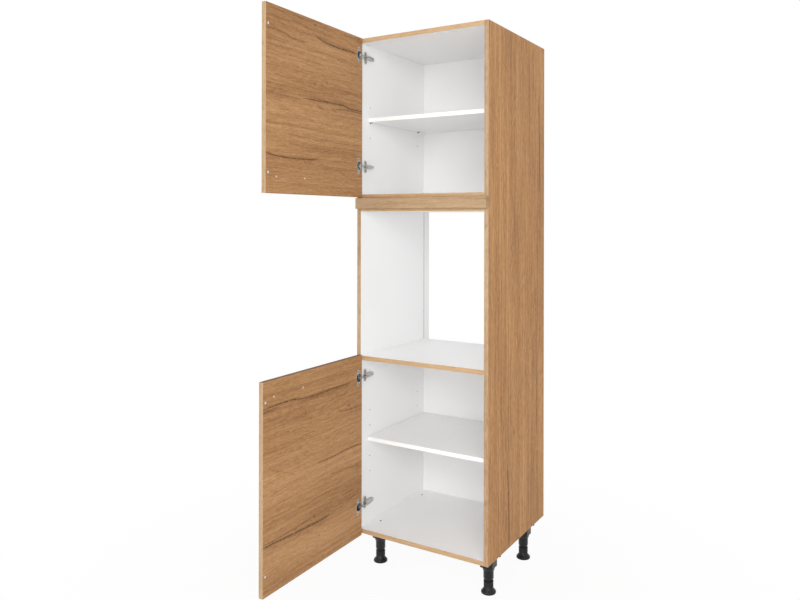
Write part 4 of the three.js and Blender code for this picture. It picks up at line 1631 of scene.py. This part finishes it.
@dataclass(frozen=True)
class ScrewSize:
    """A screw's head radius and height, and its shank's radius and length."""

    head: float
    height: float
    shank: float
    length: float

    def inputs(self) -> dict[str, float]:
        """The sizes as the screw tree names them.

        Returns:
            Values of the tree's number inputs, by name.
        """
        return {
            "Head radius": self.head,
            "Crown radius": 0.8 * self.head,
            "Head height": self.height,
            "Shank radius": self.shank,
            "Shank length": self.length,
            "Cross reach": 1.15 * self.head,
            "Cross width": 0.26 * self.head,
        }


@dataclass
class CupHinges:
    """The two cup hinges of a door, with their screws."""

    level: str
    angle: float
    heights: Place
    palette: Palette
    linkage: HingeGeometry
    nodes: dict[str, bpy.types.Object]
    depth: float = 13 * MM
    wall: float = 1.2 * MM
    seat: float = 0.3 * MM
    flange: float = 1.1 * MM
    base_edge: float = 1.0 * MM
    rim_radius: float = 19 * MM
    rim_edge: float = 0.3 * MM
    rim_drop: float = 0.04 * MM
    ear_spacing: float = 52 * MM
    ear_offset: float = 5.5 * MM
    ear_width: float = 16 * MM
    ear_edge: float = 0.25 * MM
    mouth_drop: float = 1.5 * MM
    mouth_half: float = 8 * MM
    long_pin: float = 1.2 * MM
    long_pin_start: float = 3.15 * MM
    short_pin: float = 1.0 * MM
    wing_place: Place = (18 * MM, 32 * MM)
    wing_half: float = 16 * MM
    clamp_place: Place = (30.5 * MM, 60 * MM)
    adjust_place: Place = (33.5 * MM, 41 * MM)
    flange_screw: ScrewSize = ScrewSize(3.5 * MM, 1.0 * MM, 2.0 * MM, 6 * MM)
    wing_screw: ScrewSize = ScrewSize(3.7 * MM, 1.1 * MM, 2.2 * MM, 2.0 * MM)
    clamp_screw: ScrewSize = ScrewSize(3.4 * MM, 1.2 * MM, 2.0 * MM, 6.5 * MM)
    adjust_screw: ScrewSize = ScrewSize(2.1 * MM, 1.4 * MM, 1.6 * MM, 9.5 * MM)

    @property
    def inner(self) -> float:
        """The cup's inner radius."""
        return self.linkage.cup_radius - self.wall

    @property
    def top(self) -> float:
        """Height of the flange's face over the door."""
        return self.seat + self.flange

    def build(self) -> None:
        """Builds the cups and screws, and softens the stamped steel parts."""
        for place, height in zip(("bottom", "top"), self.heights):
            self.cup(place, height)
            self.stamped(place)
        self.door_screws()
        self.carcass_screws()

    def stamped(self, place: str) -> None:
        """Rounds the edges of one hinge's plate, arm and links.

        Args:
            place: Bottom or top.
        """
        bodies = {
            "plate": "carcass",
            "arm": "carcass",
            "long_link": f"{self.level}_door_long_links",
            "short_link": f"{self.level}_door_short_links",
        }
        for part, body in bodies.items():
            node = f"{self.level}_door_{place}_hinge_{part}"
            finish = self.palette.zinc if part.endswith("link") else self.palette.nickel
            mesh = softened(self.nodes[node], finish, 0.18 * MM)
            name = f"{self.level}_{place}_hinge_{part}_steel"
            finish_piece(name, mesh, body, [node], 24)

    def cup(self, place: str, height: float) -> None:
        """Builds one cup: a deep drawn pot with a flange, two ears and its pins.

        Args:
            place: Bottom or top.
            height: Height of its middle.
        """
        well = bmesh.new()
        cylinder_cutter(well, -1 * MM * UP, 5 * MM * UP, self.inner + 0.3 * MM, 48)
        meshes = [self.opened(self.pot()), self.opened(self.rim()), self.opened(self.ears(), well)]
        work = joined([*meshes, self.pins()])
        # The cup's inside takes the black plastic: a soft-close damper's black, with painted shade in the
        # deep pot.
        mesh = plain_mesh(work, "cup", self.palette.nickel, self.palette.recess)
        for face in mesh.polygons:
            face.material_index = int(self.takes_dark_inside(face.center))
        # From the cup's own places to the closed hinge's, and on to the open door.
        middle = self.linkage.cup_middle
        own = Matrix(((1, 0, 0, middle), (0, 0, 1, 0), (0, -1, 0, height), (0, 0, 0, 1)))
        mesh.transform(self.linkage.door_matrix(self.angle) @ own)
        node = f"{self.level}_door_{place}_hinge_cup"
        name = f"{self.level}_{place}_hinge_cup_steel"
        finish_piece(name, mesh, f"{self.level}_door", [node], 35)

    def takes_dark_inside(self, middle: Vector) -> bool:
        """Whether a face of the cup takes the black plastic of its inside: a soft-close damper's black, with
        painted shade in the deep pot.

        Args:
            middle: The face's middle, in the cup's own places.

        Returns:
            True for the cup's inside, and False for its outside, its flange and the pins.
        """
        gap, margin, lip = 0.05 * MM, 0.1 * MM, 0.4 * MM
        away = math.hypot(middle.x, middle.y)
        on_long_pin = abs(middle.z - self.linkage.cup_long[1]) < self.long_pin + margin
        on_short_pin = abs(middle.z - self.linkage.cup_short[1]) < self.short_pin + margin
        at_pin = away <= self.inner - gap and (on_long_pin or on_short_pin)
        return away < self.inner + gap and middle.z < -lip and not at_pin

    def pot(self) -> bmesh.types.BMesh:
        """The deep drawn pot, closed all round.

        Returns:
            Its working mesh.
        """
        radius, inner, low, edge = self.linkage.cup_radius, self.inner, -self.depth, self.base_edge
        profile = (
            (0.0, low),
            (radius - edge, low),
            (radius - 0.3 * edge, low + 0.3 * edge),
            (radius, low + edge),
            (radius, self.top - self.ear_edge),
            (radius - self.ear_edge, self.top),
            (inner + 0.4 * MM, self.top),
            (inner, self.top - 0.4 * MM),
            (inner, low + 2 * self.wall),
            (inner - edge, low + self.wall),
            (0.0, low + self.wall),
        )
        work = bmesh.new()
        lathe(work, profile)
        return work

    def rim(self) -> bmesh.types.BMesh:
        """The round flange on the pot's mouth.

        Returns:
            Its working mesh.
        """
        inner, radius = self.inner + 0.5 * MM, self.rim_radius
        profile = (
            (inner, self.seat),
            (radius, self.seat),
            (radius, self.top - self.rim_edge),
            (radius - self.rim_edge, self.top - self.rim_drop),
            (inner, self.top - self.rim_drop),
        )
        work = bmesh.new()
        lathe(work, profile)
        return work

    def ears(self) -> bmesh.types.BMesh:
        """The flange's two round-ended ears.

        Returns:
            The working mesh of both as one plate.
        """
        work = bmesh.new()
        half, reach, steps = self.ear_width / 2, self.ear_spacing / 2, 12
        outline = []
        for side in (1, -1):
            for step in range(steps + 1):
                turn = math.pi * step / steps + (0 if side > 0 else math.pi)
                x, y = self.ear_offset + half * math.cos(turn), side * reach + half * math.sin(turn)
                outline.append(work.verts.new((x, y, self.seat)))
        work.faces.new(outline)
        made = bmesh.ops.extrude_face_region(work, geom=work.faces[:])
        raised = [item for item in made["geom"] if isinstance(item, bmesh.types.BMVert)]
        bmesh.ops.translate(work, verts=raised, vec=(0, 0, self.flange))
        bmesh.ops.recalc_face_normals(work, faces=work.faces[:])
        half_up = self.seat + self.flange / 2
        edges = [edge for edge in work.edges if all(vert.co.z > half_up for vert in edge.verts)]
        round_edges(work, edges, self.ear_edge)
        return work

    def opened(self, work: bmesh.types.BMesh, *tools: bmesh.types.BMesh) -> bpy.types.Mesh:
        """Cuts the links' mouth out of a part of the cup.

        Args:
            work: The part's mesh. It is freed.
            *tools: Further tools to cut with.

        Returns:
            The cut mesh.
        """
        mouth = bmesh.new()
        low = Vector((-self.rim_radius - 1 * MM, -self.mouth_half, -self.mouth_drop))
        high = Vector((2 * MM - self.inner, self.mouth_half, 4 * MM))
        box_cutter(mouth, low, high)
        return carve(plain_mesh(work, "cup_part"), [mouth, *tools])

    def pins(self) -> bpy.types.Mesh:
        """The stub pins of the long link and the pin across for the short one.

        Returns:
            The mesh of all three.
        """
        work = bmesh.new()
        reach = self.linkage.cup_radius - self.wall / 2
        along, deep = self.linkage.cup_long[0] - self.linkage.cup_middle, self.linkage.cup_long[1]
        half = math.sqrt(reach**2 - along**2)
        for side in (-1, 1):
            ends = (Vector((along, side * y, deep)) for y in (self.long_pin_start, half))
            cylinder_cutter(work, *ends, self.long_pin, 16)
        along, deep = self.linkage.cup_short[0] - self.linkage.cup_middle, self.linkage.cup_short[1]
        half = math.sqrt(reach**2 - along**2)
        ends = (Vector((along, y, deep)) for y in (-half, half))
        cylinder_cutter(work, *ends, self.short_pin, 16)
        return plain_mesh(work, "cup_pins")

    def door_screws(self) -> None:
        """The screws in the ears of both cups."""
        matrix = self.linkage.door_matrix(self.angle)
        way = matrix.to_3x3() @ Vector((0, 1, 0))
        along = self.linkage.cup_middle + self.ear_offset
        places = []
        for height in self.heights:
            for side in (-0.5, 0.5):
                place = Vector((along, self.top, height + side * self.ear_spacing))
                places.append((matrix @ place, way))
        mesh = repeated(screw_tree(), places, self.flange_screw.inputs(), self.palette.zinc)
        finish_piece(f"{self.level}_cup_screws", mesh, f"{self.level}_door", (), 35)

    def carcass_screws(self) -> None:
        """The screws in the wings of both plates and on both arms."""
        x, y = self.linkage.edge
        steel, dark = self.palette.zinc, self.palette.arm_opening_shade
        rows = (
            ("wing", self.wing_screw, self.wing_place, (-self.wing_half, self.wing_half), steel),
            # The clamp screws take the near black steel of painted shade, for the arm's dark opening.
            ("clamp", self.clamp_screw, self.clamp_place, (0.0,), dark),
            ("adjust", self.adjust_screw, self.adjust_place, (0.0,), steel),
        )
        for label, size, (face, deep), offsets, finish in rows:
            heights = [height + offset for height in self.heights for offset in offsets]
            places = [(Vector((x + face, y + deep, z)), Vector((1, 0, 0))) for z in heights]
            mesh = repeated(screw_tree(), places, size.inputs(), finish)
            finish_piece(f"{self.level}_{label}_screws", mesh, "carcass", (), 35)


@dataclass
class Legs:
    """The four levelling legs."""

    palette: Palette
    nodes: dict[str, bpy.types.Object]
    corners: tuple[str, ...] = ("front_left", "front_right", "rear_left", "rear_right")
    tube_radius: float = 20 * MM
    tube_top: float = 145.7 * MM
    tube_low: float = 52.5 * MM
    tube_lid: float = 6 * MM
    stem_radius: float = 15.2 * MM
    stem_top: float = 101.5 * MM
    stem_gap: float = 0.1 * MM
    sleeve_radius: float = 18.5 * MM
    ring_proud: float = 1.0 * MM
    base_radius: float = 29 * MM
    base_top: float = 7 * MM
    flare_bend: Place = (3.7 * MM, 14 * MM)
    flare_top: float = 20 * MM
    ring_low: float = 43.5 * MM
    ring_top: float = 46.5 * MM
    rib_middle: float = 32.5 * MM
    rib_size: Triple = (17 * MM, 1.2 * MM, 0.9 * MM)
    screw: ScrewSize = ScrewSize(4.5 * MM, 1.6 * MM, 2.4 * MM, 16 * MM)
    screw_seat: float = 168 * MM

    def build(self) -> None:
        """Builds every leg, and the screws that hold them."""
        seats = []
        for corner in self.corners:
            low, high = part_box(f"{corner}_leg_tube")
            centre = Vector(((low.x + high.x) / 2, (low.y + high.y) / 2, 0.0))
            self.tube(corner, centre)
            self.foot(corner, centre)
            self.ribs(corner, centre)
            self.socket(corner)
            seats.append((centre + self.screw_seat * UP, UP))
        mesh = repeated(screw_tree(), seats, self.screw.inputs(), self.palette.zinc)
        nodes = [f"{corner}_leg_screw" for corner in self.corners]
        finish_piece("leg_screws", mesh, "carcass", nodes, 35)

    def turned(self, name: str, profile: Sequence[Place], centre: Vector, body: str, node: str) -> None:
        """Turns a round part of a leg and finishes it.

        Args:
            name: The piece's name.
            profile: Radius and height of its rings.
            centre: Foot of the leg's axis.
            body: The body that it rides on.
            node: The CAD node that it stands for.
        """
        work = bmesh.new()
        lathe(work, profile, 56)
        bmesh.ops.translate(work, verts=work.verts[:], vec=centre)
        mesh = plain_mesh(work, name, self.palette.plastic)
        finish_piece(name, mesh, body, [node], 35)

    def tube(self, corner: str, centre: Vector) -> None:
        """Builds the straight tube, which narrows a little at its end.

        Args:
            corner: The leg's corner.
            centre: Foot of its axis.
        """
        radius, low, top = self.tube_radius, self.tube_low, self.tube_top
        bore, lid = self.stem_radius + self.stem_gap, self.tube_top - self.tube_lid
        profile = (
            (0.0, top),
            (radius - 1 * MM, top),
            (radius, top - 1 * MM),
            (radius, low + 5.4 * MM),
            (radius - 0.2 * MM, low + 4.8 * MM),
            (radius - 2.3 * MM, low + 0.5 * MM),
            (radius - 2.8 * MM, low),
            (bore, low),
            (bore, lid),
            (0.0, lid),
        )
        self.turned(f"{corner}_leg_pipe", profile, centre, "carcass", f"{corner}_leg_tube")

    def flare(self) -> list[Place]:
        """The curve from the foot's base up to its sleeve.

        Returns:
            Radius and height of its rings.
        """
        steps = 8
        out, bend_height = self.flare_bend
        start, end = (self.base_radius, self.base_top), (self.sleeve_radius, self.flare_top)
        corners = (start, (self.sleeve_radius + out, bend_height), end)
        rings = []
        for share in (step / steps for step in range(1, steps + 1)):
            rest = 1 - share
            weights = (rest**2, 2 * rest * share, share**2)
            radius = sum(weight * corner[0] for weight, corner in zip(weights, corners))
            height = sum(weight * corner[1] for weight, corner in zip(weights, corners))
            rings.append((radius, height))
        return rings

    def foot(self, corner: str, centre: Vector) -> None:
        """Builds the foot: a flared base, a sleeve with a ring, and the stem in the tube.

        Args:
            corner: The leg's corner.
            centre: Foot of its axis.
        """
        base, ring = self.base_radius, self.sleeve_radius + self.ring_proud
        profile = (
            (0.0, 0.0),
            (base - 2 * MM, 0.0),
            (base - 0.5 * MM, 0.6 * MM),
            (base, 2 * MM),
            (base, self.base_top - 0.6 * MM),
            (base - 0.6 * MM, self.base_top + 0.2 * MM),
            *self.flare(),
            (self.sleeve_radius, self.ring_low),
            (ring - 0.2 * MM, self.ring_low),
            (ring, self.ring_low + 0.4 * MM),
            (ring, self.ring_top - 0.4 * MM),
            (ring - 0.4 * MM, self.ring_top),
            (self.stem_radius, self.ring_top),
            (self.stem_radius, self.stem_top),
            (0.0, self.stem_top),
        )
        self.turned(f"{corner}_foot_cone", profile, centre, f"{corner}_foot", f"{corner}_leg_foot")

    def ribs(self, corner: str, centre: Vector) -> None:
        """Builds the grip ribs round the foot's sleeve.

        Args:
            corner: The leg's corner.
            centre: Foot of its axis.
        """
        sizes = dict(zip(("Rib height", "Rib width", "Rib depth"), self.rib_size))
        sizes["Ring radius"] = self.sleeve_radius
        places = [(centre + self.rib_middle * UP, UP)]
        mesh = repeated(rib_tree(), places, sizes, self.palette.plastic)
        finish_piece(f"{corner}_foot_ribs", mesh, f"{corner}_foot")

    def socket(self, corner: str) -> None:
        """Rounds the edges of one leg's socket.

        Args:
            corner: The leg's corner.
        """
        node = f"{corner}_leg_socket"
        mesh = softened(self.nodes[node], self.palette.plastic, 0.45 * MM, 50.0)
        finish_piece(f"{corner}_leg_holder", mesh, "carcass", [node], 26)


@dataclass
class ShelfPins:
    """The eight pins that carry the loose shelves."""

    palette: Palette
    nodes: dict[str, bpy.types.Object]

    def build(self) -> None:
        """Rounds the edges of every pin."""
        for node in [name for name in self.nodes if "_shelf_pin_" in name]:
            mesh = softened(self.nodes[node], self.palette.zinc, 0.3 * MM)
            finish_piece(f"{node}_steel", mesh, "carcass", [node], 40)


# ---- Studio -------------------------------------------------------------------------------------


@dataclass
class Lamp:
    """A soft rectangular lamp that looks at a point."""

    name: str
    place: Triple
    target: Triple
    size: Place
    power: float

    def build(self) -> None:
        """Builds the lamp and aims it."""
        data = bpy.data.lights.new(self.name, "AREA")
        data.shape = "RECTANGLE"
        data.size, data.size_y = self.size
        data.energy = self.power
        made = bpy.data.objects.new(self.name, data)
        made.location = self.place
        way = Vector(self.target) - Vector(self.place)
        made.rotation_euler = way.to_track_quat("-Z", "Y").to_euler()
        bpy.context.scene.collection.objects.link(made)


@dataclass
class Studio:
    """Pale floor, soft light and the camera of the photograph."""

    camera_place: Triple = (1.480897, -2.445808, 1.447658)
    camera_turn: float = 0.5451836
    camera_pitch: float = -0.00035515
    camera_roll: float = 0.0016782
    lens: float = 32.92609
    sensor: float = 36.0
    shift: Place = (-0.020187, -0.101361)
    sight: float = 100.0
    ambient: float = 0.6
    floor_half: float = 30.0
    floor_colour: Colour = (0.86, 0.86, 0.86, 1.0)
    floor_fade: tuple[float, ...] = (0.3, 1.8, 0.93, 1.0)
    white: Colour = (1.0, 1.0, 1.0, 1.0)
    lamps: tuple[Lamp, ...] = (
        Lamp("key_lamp", (2.2, -4.4, 2.4), (0.0, 0.2, 1.1), (3.0, 2.6), 56.0),
        Lamp("high_lamp", (-0.6, -4.5, 3.7), (0.1, 0.2, 1.0), (2.6, 1.6), 58.0),
        Lamp("side_lamp", (2.9, -3.3, 1.9), (0.1, 0.2, 1.1), (1.8, 2.2), 52.0),
        Lamp("low_lamp", (-0.1, -3.8, 0.3), (0.0, 0.2, 1.3), (2.4, 0.5), 18.0),
    )

    def build(self) -> None:
        """Builds the floor, world, lamps and camera."""
        self.floor()
        self.world()
        for lamp in self.lamps:
            lamp.build()
        self.camera()
        bpy.context.scene.view_settings.view_transform = "Standard"

    @staticmethod
    def seen(sketch: ShaderSketch) -> Socket:
        """1 for rays from the camera, a mirror or a glass, and 0 for the rest.

        Args:
            sketch: The tree to build in.

        Returns:
            The number's socket.
        """
        path = sketch.node("ShaderNodeLightPath").outputs
        seen = sketch.math("MAXIMUM", path["Is Camera Ray"], path["Is Glossy Ray"])
        return sketch.math("MAXIMUM", seen, path["Is Transmission Ray"])

    def world(self) -> None:
        """Lights the object evenly and shows white behind it."""
        world = bpy.data.worlds.new("soft_world")
        world.use_nodes = True
        world.node_tree.nodes.clear()
        sketch = ShaderSketch(world.node_tree)
        strength = sketch.plus(sketch.times(self.seen(sketch), 1.0 - self.ambient), self.ambient)
        back = sketch.first("ShaderNodeBackground", {"Color": self.white, "Strength": strength})
        sketch.node("ShaderNodeOutputWorld", {"Surface": back})
        bpy.context.scene.world = world

    def floor(self) -> None:
        """Lays a pale floor that fades to white away from the object and keeps its shadow."""
        half = self.floor_half
        mesh = bpy.data.meshes.new("floor")
        corners = [(-half, -half, 0), (half, -half, 0), (half, half, 0), (-half, half, 0)]
        mesh.from_pydata(corners, [], [(0, 1, 2, 3)])
        floor = bpy.data.objects.new("floor", mesh)
        bpy.context.scene.collection.objects.link(floor)
        made, sketch = bare_material("pale_floor")
        matt = sketch.first("ShaderNodeBsdfDiffuse", {"Color": self.floor_colour})
        glow = sketch.first("ShaderNodeEmission", {"Color": self.white})
        away = sketch.node("ShaderNodeVectorMath", {0: Finish.place(sketch)}, operation="LENGTH")
        fade = sketch.remap(away.outputs["Value"], *self.floor_fade)
        share = sketch.times(fade, self.seen(sketch))
        mix = sketch.first("ShaderNodeMixShader", {0: share, 1: matt, 2: glow})
        sketch.node("ShaderNodeOutputMaterial", {"Surface": mix})
        mesh.materials.append(made)

    def camera(self) -> None:
        """Sets up the camera."""
        data = bpy.data.cameras.new("camera")
        data.lens = self.lens
        data.sensor_width = self.sensor
        data.shift_x, data.shift_y = self.shift
        data.clip_end = self.sight
        made = bpy.data.objects.new("camera", data)
        turn = Matrix.Rotation(self.camera_turn, 4, "Z")
        tilt = Matrix.Rotation(math.pi / 2 + self.camera_pitch, 4, "X")
        roll = Matrix.Rotation(self.camera_roll, 4, "Z")
        made.matrix_world = Matrix.Translation(self.camera_place) @ turn @ tilt @ roll
        bpy.context.scene.collection.objects.link(made)
        bpy.context.scene.camera = made


# ---- The whole unit -----------------------------------------------------------------------------


@dataclass
class OvenHousing:
    """The whole unit, built from its sub-assemblies."""

    nodes: dict[str, bpy.types.Object]
    palette: Palette = field(default_factory=Palette)
    linkage: HingeGeometry = field(default_factory=HingeGeometry)

    def build(self) -> None:
        """Builds and dresses everything in order."""
        palette, linkage, nodes = self.palette, self.linkage, self.nodes
        Carcass(palette).build()
        Fascia(palette).build()
        for door in self.doors():
            door.build()
            door.sleeves()
            CupHinges(door.level, door.angle, door.hinge_heights, palette, linkage, nodes).build()
        Legs(palette, nodes).build()
        ShelfPins(palette, nodes).build()

    def doors(self) -> tuple[Door, Door]:
        """The two doors, with their measures.

        Returns:
            The upper and the lower door.
        """
        return (
            Door(
                level="upper",
                bottom=1535 * MM,
                top=2190 * MM,
                angle=88.0,
                hinge_heights=(1663 * MM, 2116 * MM),
                pilot_height=1594 * MM,
                oak=self.palette.upper_door_oak,
                palette=self.palette,
                linkage=self.linkage,
            ),
            Door(
                level="lower",
                bottom=144 * MM,
                top=886 * MM,
                angle=89.0,
                hinge_heights=(267 * MM, 796 * MM),
                pilot_height=827 * MM,
                oak=self.palette.lower_door_oak,
                palette=self.palette,
                linkage=self.linkage,
            ),
        )


def main() -> None:
    """Loads the frame and builds the unit and its studio."""
    logging.basicConfig(level=logging.INFO, format="%(name)s: %(message)s")
    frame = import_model()
    Studio().build()
    OvenHousing(frame["nodes"]).build()


if __name__ == "__main__":
    main()
